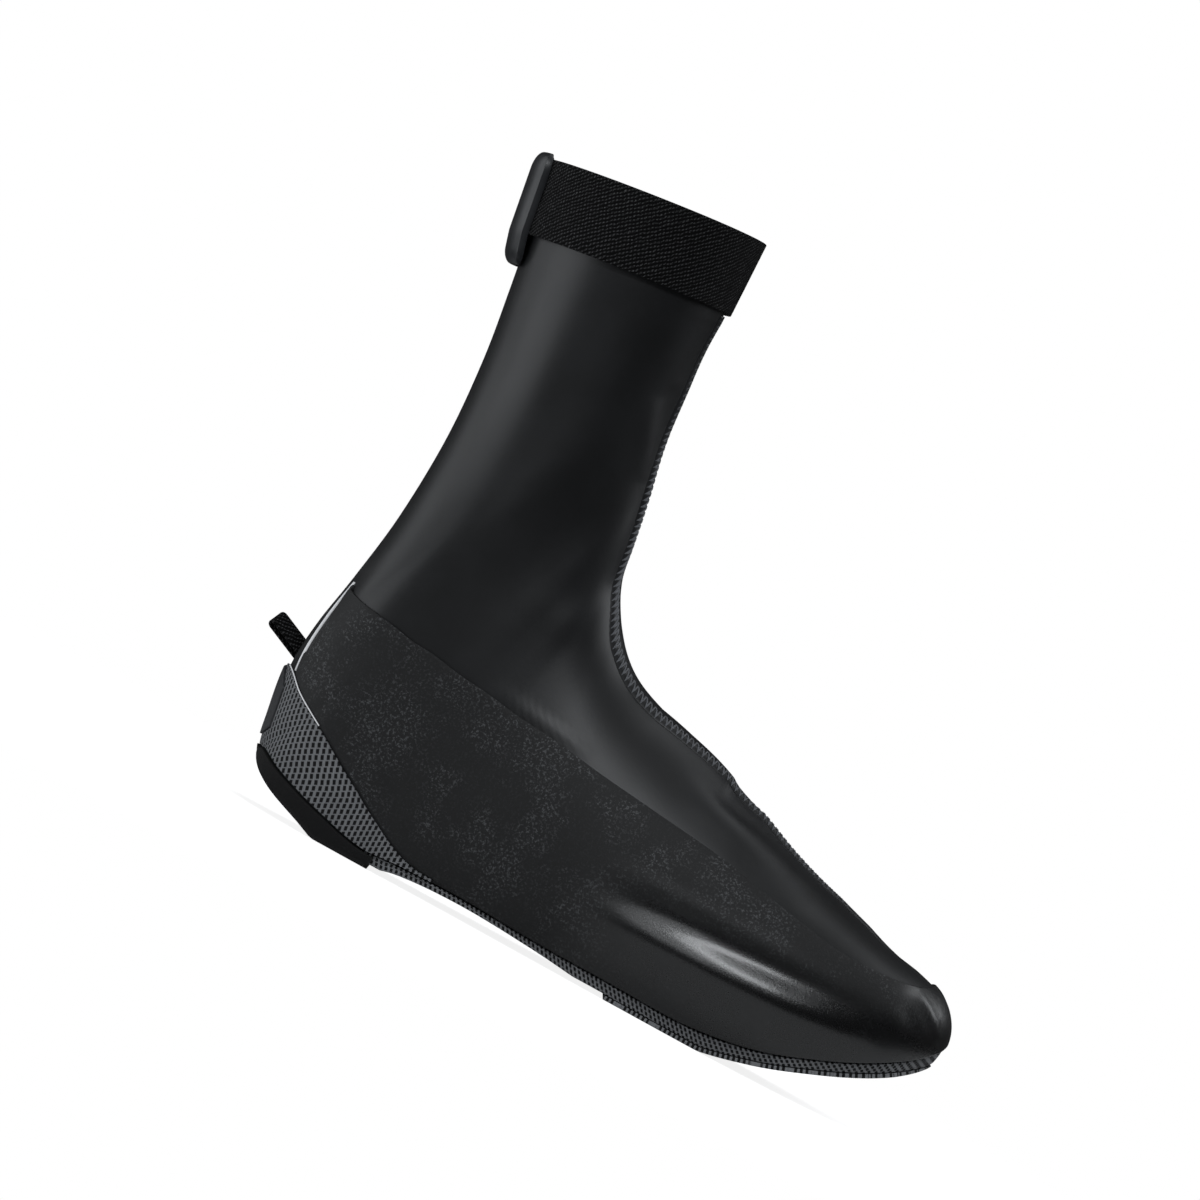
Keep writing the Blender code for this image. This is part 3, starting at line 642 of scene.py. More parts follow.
def elastic_webbing():
    """Black twill: slanted ribs broken into single floats, with a little fuzz; the floats' lighter grey is a
    painted highlight.
    """
    f = Finish("elastic_webbing", specular_ior_level=0.15)
    u, v, _ = f.laid()
    line = (v - u * RIB_SLOPE) / RIB_PITCH + 0.9 * f.noise(420, 2.0)
    rib = line.wave().above(0.40, 0.95)
    cut = (u / 1.15 + 0.5 * line.whole()).wave().above(0.10, 0.80)
    fuzz = f.noise(2400, 3.0, 0.6)
    # high: the float tops, painted lighter grey as a highlight on the black twill, and also their relief.
    high = rib * (0.15 + 0.85 * cut) * fuzz.above(0.30, 0.66)
    colour = f.blend(high, (0.0005, 0.0005, 0.0006), (0.1150, 0.1160, 0.1190))
    return f.done(base_color=colour, roughness=0.75 + 0.2 * fuzz, normal=f.bump(high + 0.25 * fuzz, 0.8, 0.3))


def smooth_tab():
    """Dark grey rubbery coat, a little clouded."""
    f = Finish("smooth_tab", coat_weight=0.25, coat_roughness=0.25, specular_ior_level=0.5)
    cloud = f.noise(90, 3.0)
    grain = f.noise(1400, 3.0, 0.6)
    colour = f.blend(cloud.above(0.3, 0.7), (0.016, 0.0175, 0.020), (0.026, 0.028, 0.031))
    return f.done(base_color=colour, roughness=0.34 + 0.12 * grain, normal=f.bump(grain, 0.18, 0.12))


def stitch_thread():
    """Grey twisted thread."""
    f = Finish("stitch_thread", specular_ior_level=0.4, sheen_weight=0.2)
    twist = f.noise(2600, 2.0)
    colour = f.blend(twist, (0.070, 0.072, 0.080), (0.260, 0.270, 0.290))
    return f.done(base_color=colour, roughness=0.55 + 0.2 * twist, normal=f.bump(twist, 0.5, 0.15))


def brushed_lining():
    """The inside: a dark brushed fleece."""
    f = Finish("brushed_lining", specular_ior_level=0.2, sheen_weight=0.5, sheen_roughness=0.6)
    nap = f.noise(900, 4.0, 0.7)
    rows = f.noise(160, 2.0)
    colour = f.blend(nap * 0.7 + rows * 0.3, (0.008, 0.008, 0.009), (0.030, 0.030, 0.032))
    return f.done(base_color=colour, roughness=0.85 + 0.1 * nap, normal=f.bump(nap, 0.8, 0.5))


COATED, GRAINED, WOVEN, RUBBER = coated_stretch(), grained_layer(), woven_base(), grained_rubber()
WOVEN_RAND = woven_base("woven_rand", pitch=2.1, row=1.8, grey=0.36)
SILVER, PAINTED_HIGHLIGHT, ELASTIC, SMOOTH = silver_strip(), reflective_white(), elastic_webbing(), smooth_tab()
THREAD, LINING = stitch_thread(), brushed_lining()

# How finely the sections are read for each piece: first section, last section and rows between each two
SHELL_ROWS = ((0, 3, 9), (3, 10, 16), (10, 17, 9), (17, 24, 7))
COUNTER_ROWS, STRIP_ROWS, PIPING_ROWS = ((9, 16, 24),), ((14, 16, 24),), ((15, 18, 24),)
SEAM_ROWS, BASE_ROWS, PAD_ROWS, HEEL_PAD_ROWS = ((2, 24, 14),), ((0, 14, 14),), ((0, 7, 14),), ((10, 15, 16),)
CUFF_ROWS, TAB_ROWS = 80, 24
LEAST_STEP = 0.02

# How many columns of faces each piece has across it, or on each side of it
SHELL_COLUMNS, PANEL_COLUMNS, COUNTER_COLUMNS, STRIP_COLUMNS = 78, 44, 40, 8
SEAM_COLUMNS, PIPING_COLUMNS, CUFF_COLUMNS, TAB_COLUMNS, LOOP_COLUMNS = 16, 8, 220, 30, 16
RAND_COLUMNS, BASE_COLUMNS, PAD_COLUMNS, CUP_COLUMNS, HEEL_PAD_COLUMNS = 10, 36, 60, 8, 40

# How far edges are rounded, in millimetres, and the angle in degrees from which an edge counts as sharp
SHELL_ROUND, LAYER_ROUND, STRIP_ROUND, CUFF_ROUND = 0.4, 0.25, 0.2, 0.5
CORNER_ROUND, LOOP_ROUND, BASE_ROUND, PAD_ROUND = 0.9, 0.4, 0.5, 0.6
SHARP = 50

# How far the backs of sewn layers are sunk into what carries them, so that no light shows between them
SUNK = 0.3


def rows(start, end, layout=SHELL_ROWS):
    """Places from start to end, as finely as the layout says."""
    shared = np.concatenate([np.arange(first, last, 1 / steps) for first, last, steps in layout])
    inner = shared[(shared > start + LEAST_STEP) & (shared < end - LEAST_STEP)]
    return np.concatenate(([start], inner, [end]))


def round_edges(piece, width_mm, segments=2):
    """Rounds the sharp edges of a piece."""
    soften = piece.modifiers.new("round_edges", "BEVEL")
    soften.width = width_mm * MM
    soften.segments = segments
    soften.limit_method = "ANGLE"
    soften.angle_limit = math.radians(SHARP)
    return piece


def set_in_place(piece, slot, *nodes):
    """The piece stands for its solids, and moves with the shoe's one body."""
    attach(piece, "root")
    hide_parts(*nodes)
    return piece


def crown(count, rise):
    """How much higher the middle of a narrow band is than its edges."""
    across = spread(-1, 1, count)
    return rise * np.sqrt(1 - 0.9 * across**2)


def make_shell():
    """The stretch upper: one wall from toe to collar, with the lining as its inner face."""
    spots = rows(0.0, COLLAR)
    low = round_at_height(spots, edge("rand", spots) + RAND_GAP)
    outer = over_ridge(spots, low, SHELL_COLUMNS)
    inner = over_ridge(spots, low, SHELL_COLUMNS, -WALL)
    piece = closed_sheet("shell_upper", [outer], [inner], [lengths(outer)], [COATED, LINING])
    return set_in_place(round_edges(piece, SHELL_ROUND), "coated_stretch", "shell")


# Beside the piping the side panel runs out flat: over which share of its height, and how thick its edge is
FLAT_SHARE, FLAT_EDGE = 0.25, 0.1


def make_side_panel():
    """The grained layer over the lower quarters, on both sides and round the toe."""
    spots = rows(0.0, PANEL_BACK)
    low = round_at_height(spots, np.maximum(edge("rand", spots), edge("counter", spots)) + 3 * GAP)
    low = np.where(spots > HEEL, np.maximum(low, PIPING_TURN + turn_over(spots, PIPING_WIDTH)), low)
    high = np.maximum(round_at_height(spots, edge("panel", spots)), low + LEAST_TURN)
    share = spread(0, 1, PANEL_COLUMNS)
    flat = np.where(spots[:, None] > PIPING_LOW, np.clip(share / FLAT_SHARE, 0, 1), 1.0)
    lift = FLAT_EDGE + (LAYER_GAP + PANEL - FLAT_EDGE) * flat
    medial = half(spots, high, low, PANEL_COLUMNS, MEDIAL, lift[:, ::-1])
    lateral = half(spots, low, high, PANEL_COLUMNS, LATERAL, lift)
    outer = [medial, lateral]
    inner = both_sides(spots, low, high, PANEL_COLUMNS, -SUNK)
    piece = closed_sheet("grained_side_panel", outer, inner, [lengths(grid) for grid in outer], [GRAINED])
    return set_in_place(round_edges(piece, LAYER_ROUND), "grained_layer", "side_panel")


def turn_over(spots, distance):
    """The turn round a section that runs over this distance near the centre back."""
    here = np.full(spots.shape, PIPING_TURN)
    side = np.full(spots.shape, LATERAL)
    run = skin(spots, here + LEAST_TURN, side) - skin(spots, here, side)
    return distance * LEAST_TURN / np.linalg.norm(run, axis=-1)


# The heel's outline from above, for laying woven cloth round it: its depth and half width in millimetres,
# and where its back is at these heights
HEEL_DEPTH, HEEL_WIDTH = 62.0, 36.5
BACK_HEIGHTS, BACK_PLACES = (20, 35, 55, 75, 97), (8.8, 5.3, 2.5, 3.8, 7.8)
ARC_READINGS = 90

# How far the cloth's grain is turned from level
WEAVE_TILT = math.radians(28.7)


def laid_round_heel(points):
    """How far round the heel and how high each point lies, turned to the cloth's grain."""
    back = np.interp(points[..., 2], BACK_HEIGHTS, BACK_PLACES)
    depth = points[..., 0] - back
    angles = np.linspace(0, math.pi / 2, ARC_READINGS)
    steps = np.hypot(HEEL_DEPTH * np.sin(angles), HEEL_WIDTH * np.cos(angles))
    run = np.concatenate(([0.0], np.cumsum((steps[1:] + steps[:-1]) / 2 * np.diff(angles))))
    angle = np.arctan2(np.abs(points[..., 1]) / HEEL_WIDTH, 1 - depth / HEEL_DEPTH)
    arc = np.interp(angle, angles, run) + np.maximum(depth - HEEL_DEPTH, 0)
    z = points[..., 2]
    c, s = math.cos(WEAVE_TILT), math.sin(WEAVE_TILT)
    return np.stack((arc * c + z * s, z * c - arc * s, 0 * z), axis=-1)


def make_heel_counter():
    """The woven panel round the heel."""
    spots = rows(COUNTER_FRONT, COUNTER_TOP, COUNTER_ROWS)
    low = round_at_height(spots, np.maximum(edge("heel_pad", spots), edge("rand", spots)) + 2 * GAP)
    high = np.maximum(round_at_height(spots, edge("counter", spots)), low + LEAST_TURN)
    outer = both_sides(spots, low, high, COUNTER_COLUMNS, LAYER_GAP + COUNTER)
    inner = both_sides(spots, low, high, COUNTER_COLUMNS, -SUNK)
    laid = [laid_round_heel(grid) for grid in outer]
    piece = closed_sheet("woven_heel_counter", outer, inner, laid, [WOVEN])
    return set_in_place(round_edges(piece, LAYER_ROUND), "woven_base", "heel_counter")


def make_back_strip():
    """The narrow strip at the centre back of the heel."""
    spots = rows(STRIP_LOW, STRIP_TOP, STRIP_ROWS)
    high = np.minimum(STRIP_TURN, STRIP_SHARE * round_at_height(spots, edge("counter", spots)))
    lift = LAYER_GAP + COUNTER + GAP
    outer = both_sides(spots, 0 * spots, high, STRIP_COLUMNS, lift + STRIP)
    inner = both_sides(spots, 0 * spots, high, STRIP_COLUMNS, LAYER_GAP)
    piece = closed_sheet("silver_back_strip", outer, inner, [lengths(grid) for grid in outer], [SILVER])
    return set_in_place(round_edges(piece, STRIP_ROUND), "silver_strip", "back_strip")


# The seam's toe end: over how much of a section it is rounded off and rises, and its least share of both
SEAM_END_ROUND, SEAM_END_RISE, SEAM_END_LEAST = 0.5, 0.8, 0.02


def make_front_seam():
    """The raised band down the front of shaft and instep."""
    spots = rows(SEAM_TOE, SEAM_TOP, SEAM_ROWS)
    aside = np.interp(spots, SEAM_PLACES, SEAM_ASIDE)
    from_toe = spots - SEAM_TOE
    reach = SEAM_WIDTH / 2 * np.sqrt(np.clip(from_toe / SEAM_END_ROUND, SEAM_END_LEAST, 1))
    low = round_at_ridge(spots, aside + reach)
    high = round_at_ridge(spots, aside - reach)
    ends = np.clip(from_toe / SEAM_END_RISE, SEAM_END_LEAST, 1)
    lift = ends[:, None] * (GAP + SEAM) * (1 - spread(-1, 1, SEAM_COLUMNS) ** 2)
    outer = half(spots, low, high, SEAM_COLUMNS, LATERAL, lift)
    inner = half(spots, low, high, SEAM_COLUMNS, LATERAL, -SUNK)
    piece = closed_sheet("front_seam_band", [outer], [inner], [lengths(outer)], [COATED])
    return set_in_place(piece, "coated_stretch", "front_seam")


# A direction in which no thread runs
ASKEW = (0.3, 1.0, 0.2)


def tube(name, path, radius, finish, sides=6):
    """A round thread along a path of points in millimetres."""
    run = np.gradient(path, axis=0)
    run /= np.linalg.norm(run, axis=-1, keepdims=True)
    up = np.cross(run, ASKEW)
    up /= np.linalg.norm(up, axis=-1, keepdims=True)
    aside = np.cross(run, up)
    angles = np.linspace(0, 2 * math.pi, sides, endpoint=False)
    ring = np.cos(angles)[:, None] * up[:, None] + np.sin(angles)[:, None] * aside[:, None]
    rings = path[:, None] + radius * ring
    at = np.arange(len(path) * sides).reshape(len(path), sides)
    nxt = np.roll(at, -1, axis=1)
    quads = np.stack((at[:-1], nxt[:-1], nxt[1:], at[1:]), axis=-1).reshape(-1, 4)
    faces = quads.tolist() + [at[0][::-1].tolist(), at[-1].tolist()]
    return mesh_piece(name, rings.reshape(-1, 3), faces, 0 * rings.reshape(-1, 3), [finish])


STITCH_PITCH = 2.7
STITCH_RADIUS = 0.34
STITCH_INSET = 0.5

# How far from the seam's ends the thread starts and stops, in sections, and how finely it is read
STITCH_START, STITCH_STOP, STITCH_READINGS, STITCH_STEPS = 1.3, 0.05, 3000, 5

# How far the thread lies above the band, how far and how suddenly it dips at its turns, and where it is sunk
STITCH_LIFT, STITCH_DIP, STITCH_POWER = 0.12, 0.2, 6
STITCH_PLACES, STITCH_SUNK = (3.5, 5.5, 12.0, 17.0), (0.45, 0.0, 0.0, 0.35)


def make_seam_stitches():
    """A zigzag of thread over the front seam."""
    fine = np.linspace(SEAM_TOE + STITCH_START, SEAM_TOP - STITCH_STOP, STITCH_READINGS)
    middle = round_at_ridge(fine, np.interp(fine, SEAM_PLACES, SEAM_ASIDE))
    far = np.linalg.norm(np.diff(cover(fine, middle, LATERAL), axis=0), axis=-1)
    far = np.concatenate(([0.0], np.cumsum(far)))
    count = int(far[-1] / STITCH_PITCH) * 2
    knots = np.arange(count * STITCH_STEPS + 1) / STITCH_STEPS
    place = np.interp(knots * STITCH_PITCH / 2, far, fine)
    swing = 2 * np.abs((knots / 2) % 1 * 2 - 1) - 1
    beside = swing * (SEAM_WIDTH / 2 - STITCH_INSET)
    band = (GAP + SEAM) * (1 - (beside / (SEAM_WIDTH / 2)) ** 2)
    dip = STITCH_DIP * np.abs(swing) ** STITCH_POWER
    lift = band + STITCH_LIFT - dip - np.interp(place, STITCH_PLACES, STITCH_SUNK)
    aside = np.interp(place, SEAM_PLACES, SEAM_ASIDE) + beside
    path = cover(place, round_at_ridge(place, aside), LATERAL, lift)
    piece = tube("front_seam_stitches", path, STITCH_RADIUS, THREAD)
    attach(piece, "root")
    return piece


# How much lower the piping starts and ends than its solid, in sections, and how much of its width is seen;
# over how much of a section its ends are rounded, how blunt they are, and how far its edges stand off
PIPING_LOWER, PIPING_SHORTER, PIPING_SEEN = 0.3, 0.15, 0.8
PIPING_END, PIPING_BLUNT, PIPING_LIFT = 0.25, 0.1, 0.15


def make_piping(name, side):
    """One line of piping, rounded at its ends; its white and its glow are a painted highlight along the
    heel's glossy back edge.
    """
    spots = rows(PIPING_LOW - PIPING_LOWER, PIPING_TOP - PIPING_SHORTER, PIPING_ROWS)
    to_end = np.minimum(spots - spots[0], spots[-1] - spots)
    ends = np.sqrt(np.clip(to_end / PIPING_END, PIPING_BLUNT, 1))
    reach = -side * turn_over(spots, PIPING_SEEN / 2 * PIPING_WIDTH) * ends
    low, high = PIPING_TURN - reach, PIPING_TURN + reach
    # The white bead stands where the glossy back edge shows a highlight: painted highlight.
    outer = half(spots, low, high, PIPING_COLUMNS, side, PIPING_LIFT + crown(PIPING_COLUMNS, PIPING))
    inner = half(spots, low, high, PIPING_COLUMNS, side, -SUNK)
    piece = closed_sheet(name + "_line", [outer], [inner], [lengths(outer)], [PAINTED_HIGHLIGHT])
    return set_in_place(piece, "reflective_white", name)


# The painted highlight along the counter's edge, a white tube: where it starts and stops, in sections, and
# how finely it is read; its radius, how far it lies above the edge and how far it is sunk in, in millimetres
EDGE_START, EDGE_STOP, EDGE_READINGS = COUNTER_TOP - 0.1, HEEL - 0.6, 70
EDGE_RADIUS, EDGE_ABOVE, EDGE_SUNK = 0.28, 0.5, 0.1


def make_counter_edge_highlight(name, side):
    """A white glowing tube along the counter's upper edge, which goes on from the piping: the painted
    highlight of that glossy edge.
    """
    spots = np.linspace(EDGE_START, EDGE_STOP, EDGE_READINGS)
    turns = round_at_height(spots, edge("counter", spots) + EDGE_ABOVE)
    path = cover(spots, turns, side, LAYER_GAP + COUNTER - EDGE_SUNK)
    piece = tube(name, path, EDGE_RADIUS, PAINTED_HIGHLIGHT)
    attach(piece, "root")
    return piece


# How far the ribs of the cuff stand out, in millimetres, and the share of that which lies inside its face
RIB_RISE, RIB_INSIDE = 0.3, 0.7


def make_cuff():
    """The wide elastic round the collar, with ribs."""
    spots = spread(CUFF_LOW, CUFF_TOP, CUFF_ROWS)
    count = CUFF_COLUMNS
    laid = lengths(over_ridge(spots, 0 * spots, count))[:, :, [1, 0, 2]]
    rib = 0.5 + 0.5 * np.sin(2 * math.pi * (laid[..., 1] - RIB_SLOPE * laid[..., 0]) / RIB_PITCH)
    lift = GAP + CUFF + RIB_RISE * (rib - RIB_INSIDE)
    lateral = half(spots, 0 * spots, 0 * spots + 1, count, LATERAL, lift[:, :count + 1])
    medial = half(spots, 0 * spots + 1, 0 * spots, count, MEDIAL, lift[:, count:])
    outer = np.concatenate((lateral, medial[:, 1:]), axis=1)
    inner = over_ridge(spots, 0 * spots, count, -SUNK)
    piece = closed_sheet("elastic_cuff", [outer], [inner], [laid], [ELASTIC])
    return set_in_place(round_edges(piece, CUFF_ROUND), "elastic_webbing", "cuff")


# The tab: rows in each rounded end; how much thinner it is at its sides, how late that starts, how thick it
# is at its ends, and how far its low end leans in, in millimetres
TAB_END_ROWS, TAB_SIDE_THIN, TAB_SIDE_POWER, TAB_END_THICK, TAB_LEAN = 9, 0.5, 2.5, 0.35, 1.6
TAB_SEGMENTS = 4


def make_closure_tab():
    """The smooth tab at the back of the cuff."""
    ends = TAB_CORNER * (1 - np.cos(np.linspace(0, math.pi / 2, TAB_END_ROWS)))
    between = spread(TAB_LOW + TAB_CORNER, TAB_TOP - TAB_CORNER, TAB_ROWS)[1:-1]
    spots = np.concatenate((TAB_LOW + ends, between, TAB_TOP - ends[::-1]))
    to_end = np.minimum(spots - TAB_LOW, TAB_TOP - spots)
    corner = np.clip(1 - to_end / TAB_CORNER, 0, 1)
    rounded = np.sqrt(1 - corner**2)
    high = TAB_TURN * (1 - TAB_ROUND * (1 - rounded))
    lift = 2 * GAP + CUFF + np.interp(spots, (TAB_LOW, CUFF_LOW), (-TAB_LEAN, 0.0))[:, None]
    thick = TAB * (TAB_END_THICK + (1 - TAB_END_THICK) * rounded)[:, None]
    sides = 1 - TAB_SIDE_THIN * spread(0, 1, TAB_COLUMNS) ** TAB_SIDE_POWER
    medial = half(spots, high, 0 * spots, TAB_COLUMNS, MEDIAL, lift + thick * sides[::-1])
    lateral = half(spots, 0 * spots, high, TAB_COLUMNS, LATERAL, lift + thick * sides)
    outer = [medial, lateral]
    inner = both_sides(spots, 0 * spots, high, TAB_COLUMNS, lift - SUNK)
    piece = closed_sheet("closure_tab_cover", outer, inner, [lengths(grid) for grid in outer], [SMOOTH])
    return set_in_place(round_edges(piece, CORNER_ROUND, TAB_SEGMENTS), "smooth_tab", "closure_tab")


# The loop: how far its legs reach into the heel, in millimetres, how finely legs and bend are read, and how
# slanting the legs may be cut to meet the heel
LOOP_ROOT, LEG_READINGS, BEND_READINGS, LOOP_SLANT = 1.6, 14, 25, 1.2


def make_pull_loop():
    """The folded webbing at the heel, twisted towards the lateral side."""
    reach = LOOP_HEIGHT / 2 - LOOP_BAND / 2
    bends = np.linspace(math.pi / 2, -math.pi / 2, BEND_READINGS)
    legs = np.linspace(-LOOP_ROOT, LOOP_LENGTH - reach, LEG_READINGS)[:-1]
    middle = [(out, reach) for out in legs]
    middle += [(reach * math.cos(bend) + LOOP_LENGTH - reach, reach * math.sin(bend)) for bend in bends]
    middle += [(out, -reach) for out in legs[::-1]]
    middle = np.array(middle)
    run = np.gradient(middle, axis=0)
    aside = np.stack((-run[:, 1], run[:, 0]), axis=-1) / np.hypot(run[:, 0], run[:, 1])[:, None]
    rise, twist = math.radians(LOOP_RISE), math.radians(LOOP_TWIST)
    beside = spread(-LOOP_WIDTH / 2, LOOP_WIDTH / 2, LOOP_COLUMNS)

    def laid_out(line):
        out, up = line[:, :1], line[:, 1:]
        down = up * math.cos(twist) - beside * math.sin(twist)
        y = up * math.sin(twist) + beside * math.cos(twist)
        out = out - down * math.tan(rise) * np.clip(1 - out / (LOOP_LENGTH - reach), 0, LOOP_SLANT)
        x = LOOP_BASE[0] - out * math.cos(rise) - down * math.sin(rise)
        z = LOOP_BASE[1] + out * math.sin(rise) - down * math.cos(rise)
        return np.stack((x, y, z), axis=-1)

    outer = laid_out(middle + aside * LOOP_BAND / 2)
    inner = laid_out(middle - aside * LOOP_BAND / 2)
    piece = closed_sheet("webbing_pull_loop", [outer], [inner], [lengths(outer)], [ELASTIC])
    return set_in_place(round_edges(piece, LOOP_ROUND), "elastic_webbing", "pull_loop")


# How tall the cutter for the window is, in metres, and how many steps its corners have
CUTTER_HEIGHT, CUTTER_STEPS = 0.06, 8


def window_cutter():
    """A rounded block where the cleat's window goes through base and pad."""
    made = bmesh.new()
    bmesh.ops.create_cube(made, size=1.0)
    for vert in made.verts:
        vert.co.x = (vert.co.x * WINDOW[0] + WINDOW_MIDDLE[0] + SHIFT[0]) * MM
        vert.co.y = (vert.co.y * WINDOW[1] + WINDOW_MIDDLE[1] + SHIFT[1]) * MM
        vert.co.z *= CUTTER_HEIGHT
    upright = [side for side in made.edges if side.verts[0].co.xy == side.verts[1].co.xy]
    bmesh.ops.bevel(made, geom=upright, offset=WINDOW_CORNER * MM, segments=CUTTER_STEPS, profile=0.5,
                    affect="EDGES")
    mesh = bpy.data.meshes.new("window_cutter")
    made.to_mesh(mesh)
    made.free()
    cutter = bpy.data.objects.new("window_cutter", mesh)
    bpy.context.scene.collection.objects.link(cutter)
    return cutter


def cut_window(piece):
    """Cuts the cleat's window, and carries over how the cloth is laid, which the cut loses."""
    spots = KDTree(len(piece.data.vertices))
    for vert in piece.data.vertices:
        spots.insert(vert.co, vert.index)
    spots.balance()
    laid = [entry.vector.copy() for entry in piece.data.attributes["laid"].data]
    cutter = window_cutter()
    opening = piece.modifiers.new("window", "BOOLEAN")
    opening.object = cutter
    bpy.context.view_layer.update()
    mesh = bpy.data.meshes.new_from_object(piece.evaluated_get(bpy.context.evaluated_depsgraph_get()))
    piece.modifiers.clear()
    piece.data = mesh
    for vert, entry in zip(mesh.vertices, mesh.attributes["laid"].data):
        entry.vector = laid[spots.find(vert.co)[1]]
    bpy.data.objects.remove(cutter, do_unlink=True)
    return piece


def laid_flat(points):
    """Where each point lies as seen from below."""
    return np.stack((points[..., 0], points[..., 1], 0 * points[..., 0]), axis=-1)


def make_outsole():
    """The woven base with its raised rand."""
    spots = rows(0.0, BASE_END, BASE_ROWS)
    high = round_at_height(spots, edge("rand", spots))
    outer = under_foot(spots, high, RAND_COLUMNS, BASE_COLUMNS, 0.0)
    inner = under_foot(spots, high, RAND_COLUMNS, BASE_COLUMNS, -WALL)
    piece = closed_sheet("woven_outsole", [outer], [inner], [lengths(outer)], [WOVEN_RAND])
    return set_in_place(round_edges(cut_window(piece), BASE_ROUND), "woven_base", "outsole")


# Over how many sections the forefoot pad thins towards the toe, and to which share of its thickness
PAD_THINS, PAD_TIP = 1.6, 0.25


def make_forefoot_pad():
    """The pad under the ball."""
    spots = rows(PAD_TOE, PAD_REAR, PAD_ROWS)
    shares = spread(0, 1, PAD_COLUMNS)
    under = under_points(spots[:, None], shares[None, :])
    down = downward(spots[:, None])
    thick = PAD * np.interp(spots, (PAD_TOE, PAD_TOE + PAD_THINS), (PAD_TIP, 1.0))[:, None, None]
    outer = under + down * (GAP + thick)
    inner = under + down * GAP
    piece = closed_sheet("forefoot_pad_sole", [outer], [inner], [lengths(outer)], [WOVEN_RAND])
    return set_in_place(round_edges(cut_window(piece), PAD_ROUND), "woven_base", "forefoot_pad")


def make_heel_pad():
    """The cup under and behind the heel."""
    spots = rows(HEEL_PAD_FRONT, HEEL_PAD_END, HEEL_PAD_ROWS)
    high = round_at_height(spots, edge("heel_pad", spots))
    outer = under_foot(spots, high, CUP_COLUMNS, HEEL_PAD_COLUMNS, GAP + PAD)
    inner = under_foot(spots, high, CUP_COLUMNS, HEEL_PAD_COLUMNS, GAP)
    piece = closed_sheet("rubber_heel_pad", [outer], [inner], [laid_flat(outer)], [RUBBER])
    return set_in_place(round_edges(piece, PAD_ROUND), "grained_rubber", "heel_pad")


make_shell()
make_side_panel()
make_heel_counter()
make_back_strip()
make_front_seam()
make_seam_stitches()
# The piping lines and the counter's edge tubes are white and glowing: painted highlights along glossy edges.
make_piping("reflective_piping_lateral", LATERAL)
make_piping("reflective_piping_medial", MEDIAL)
make_counter_edge_highlight("counter_edge_highlight_lateral", LATERAL)
make_counter_edge_highlight("counter_edge_highlight_medial", MEDIAL)
make_cuff()
make_closure_tab()
make_pull_loop()
make_outsole()
make_forefoot_pad()
make_heel_pad()

# The camera keeps the photo's angle to the shoe: rolled, and at right angles to the shoe's length
ROLL = math.radians(28.7)
LOOKS_AT = Vector((-0.047, 0.0, 0.1357))
FRAME_WIDTH = 0.4724
LENS, SENSOR = 250.0, 36.0
RIGHT = Vector((math.cos(ROLL), 0.0, math.sin(ROLL)))
UP = Vector((-math.sin(ROLL), 0.0, math.cos(ROLL)))
BACK = Vector((0.0, -1.0, 0.0))


def place_camera():
    """A long lens, as far away as the frame's width asks."""
    camera = bpy.data.cameras.new("camera")
    camera.lens = LENS
    camera.sensor_width = SENSOR
    holder = bpy.data.objects.new("camera", camera)
    bpy.context.scene.collection.objects.link(holder)
    turn = Matrix((RIGHT, UP, BACK)).transposed().to_4x4()
    holder.matrix_world = Matrix.Translation(LOOKS_AT + BACK * FRAME_WIDTH * LENS / SENSOR) @ turn
    bpy.context.scene.camera = holder


# Soft boxes: name, place to the right of the picture, up it and towards the camera, width, height and power
SOFT_BOXES = (
    ("left_box", -0.95, 0.30, 0.45, 0.9, 0.6, 3.8),
    ("left_rear_box", -0.85, 0.65, -0.25, 0.6, 0.6, 1.3),
    ("key_box", 0.56, 0.72, 1.02, 0.75, 0.22, 5.4),
    ("front_box", 0.10, 0.52, 1.25, 0.6, 0.3, 0.9),
    ("right_rear_box", 1.10, 0.15, -0.35, 0.5, 0.6, 2.3),
    ("right_top_box", 0.75, 0.85, -0.20, 0.6, 0.5, 1.2),
)


LIGHT_COLOUR = (0.94, 0.97, 1.0)


def place_lights():
    """Soft boxes that all face the middle of the picture."""
    for name, right, up, back, width, height, power in SOFT_BOXES:
        light = bpy.data.lights.new(name, "AREA")
        light.shape = "RECTANGLE"
        light.size, light.size_y = width, height
        light.energy = power
        light.color = LIGHT_COLOUR
        holder = bpy.data.objects.new(name, light)
        bpy.context.scene.collection.objects.link(holder)
        spot = LOOKS_AT + RIGHT * right + UP * up + BACK * back
        holder.location = spot
        holder.rotation_euler = (LOOKS_AT - spot).to_track_quat("-Z", "Y").to_euler()


# How bright the surroundings are for the shoe, against 1 for the camera
SURROUNDINGS = 0.03


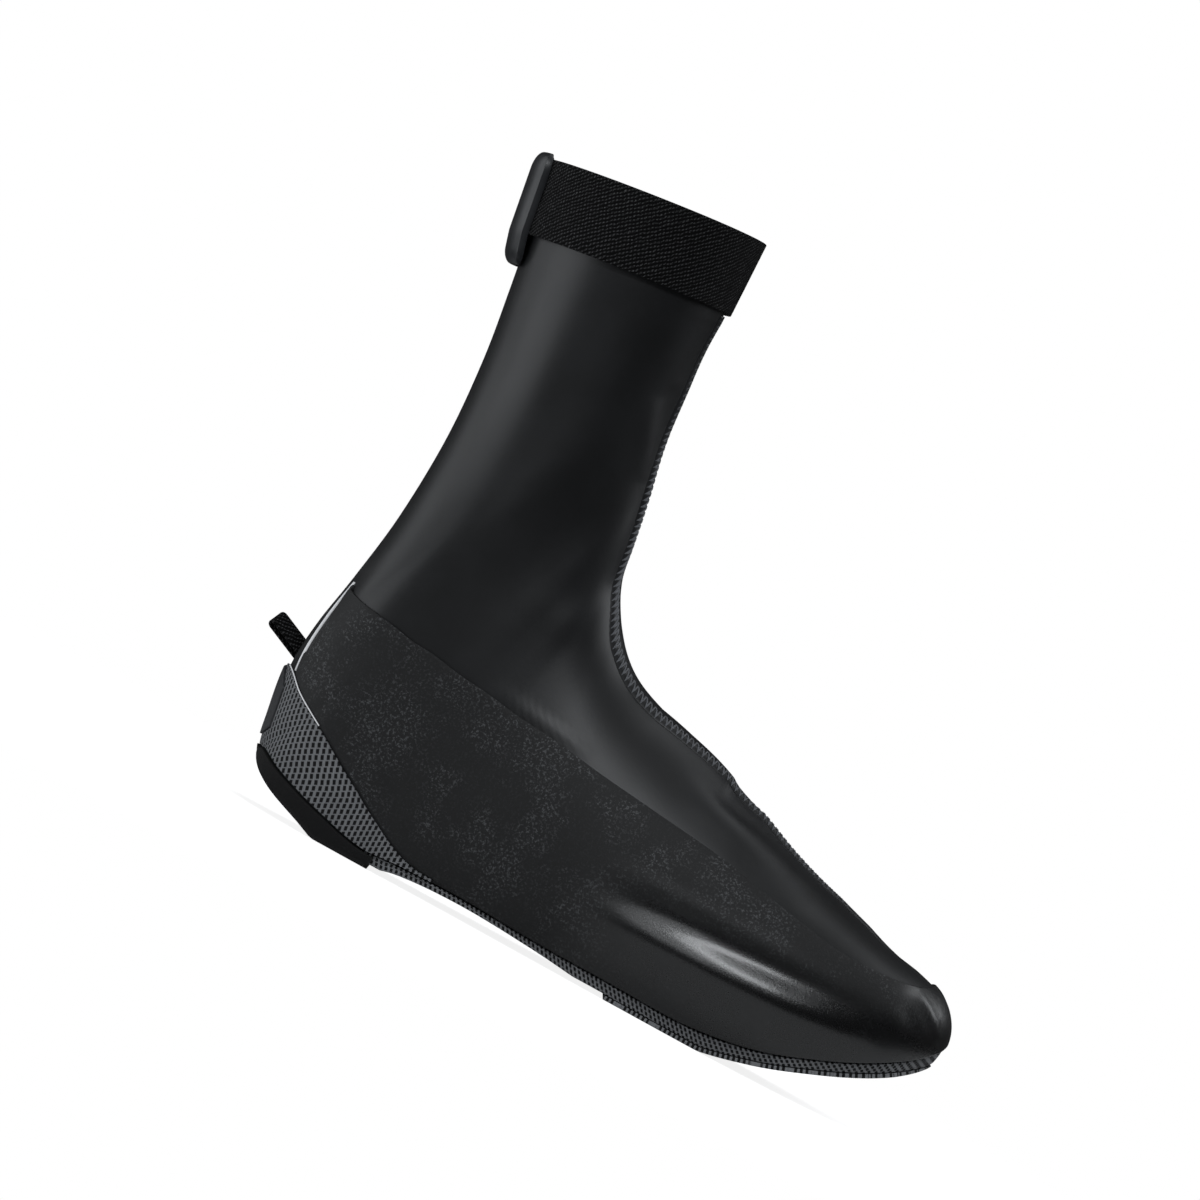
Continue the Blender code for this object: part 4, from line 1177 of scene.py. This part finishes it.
def white_surroundings():
    """White behind the shoe, which lights it only a little."""
    world = bpy.data.worlds.new("studio")
    bpy.context.scene.world = world
    world.use_nodes = True
    nodes, links = world.node_tree.nodes, world.node_tree.links
    seen = nodes.new("ShaderNodeLightPath").outputs["Is Camera Ray"]
    strength = nodes.new("ShaderNodeMapRange")
    strength.inputs["To Min"].default_value = SURROUNDINGS
    strength.inputs["To Max"].default_value = 1.0
    links.new(seen, strength.inputs["Value"])
    links.new(strength.outputs[0], nodes["Background"].inputs["Strength"])
    nodes["Background"].inputs["Color"].default_value = (1.0, 1.0, 1.0, 1.0)


# The floor: its radius and how far below the shoe it lies, in metres, its grey, how much it glows for the
# camera, and from where to where it fades into the white around it
FLOOR_RADIUS, FLOOR_SEGMENTS, FLOOR_BELOW = 2.2, 96, 0.0001
FLOOR_GREY, FLOOR_GLOW, FLOOR_FADES = (0.85, 0.85, 0.85), 0.86, (0.30, 0.60)


def lay_floor():
    """A plain pale floor."""
    made = bmesh.new()
    bmesh.ops.create_circle(made, cap_ends=True, segments=FLOOR_SEGMENTS, radius=FLOOR_RADIUS)
    mesh = bpy.data.meshes.new("floor")
    made.to_mesh(mesh)
    made.free()
    floor = bpy.data.objects.new("floor", mesh)
    floor.location.z = -FLOOR_BELOW
    bpy.context.scene.collection.objects.link(floor)
    f = Finish("pale_floor", roughness=0.9, specular_ior_level=0.0, emission_strength=FLOOR_GLOW)
    f.feed(f.shader.inputs["Base Color"], FLOOR_GREY)
    f.feed(f.shader.inputs["Emission Color"], (1.0, 1.0, 1.0))
    far = f.node("VectorMath", {"operation": "LENGTH"}, {0: f.at()}, output="Value").above(*FLOOR_FADES)
    dull = f.node("BsdfDiffuse", sockets={0: FLOOR_GREY})
    seen = f.node("LightPath", output="Is Camera Ray")
    lit = f.node("MixShader", sockets={0: seen, 1: dull, 2: Socket(f, f.shader.outputs[0])})
    clear = f.node("BsdfTransparent")
    mixed = f.node("MixShader", sockets={0: far, 1: lit, 2: clear})
    f.tree.links.new(mixed.socket, f.tree.nodes["Material Output"].inputs["Surface"])
    mesh.materials.append(f.material)


place_camera()
place_lights()
white_surroundings()
lay_floor()
bpy.context.scene.view_settings.view_transform = "Standard"
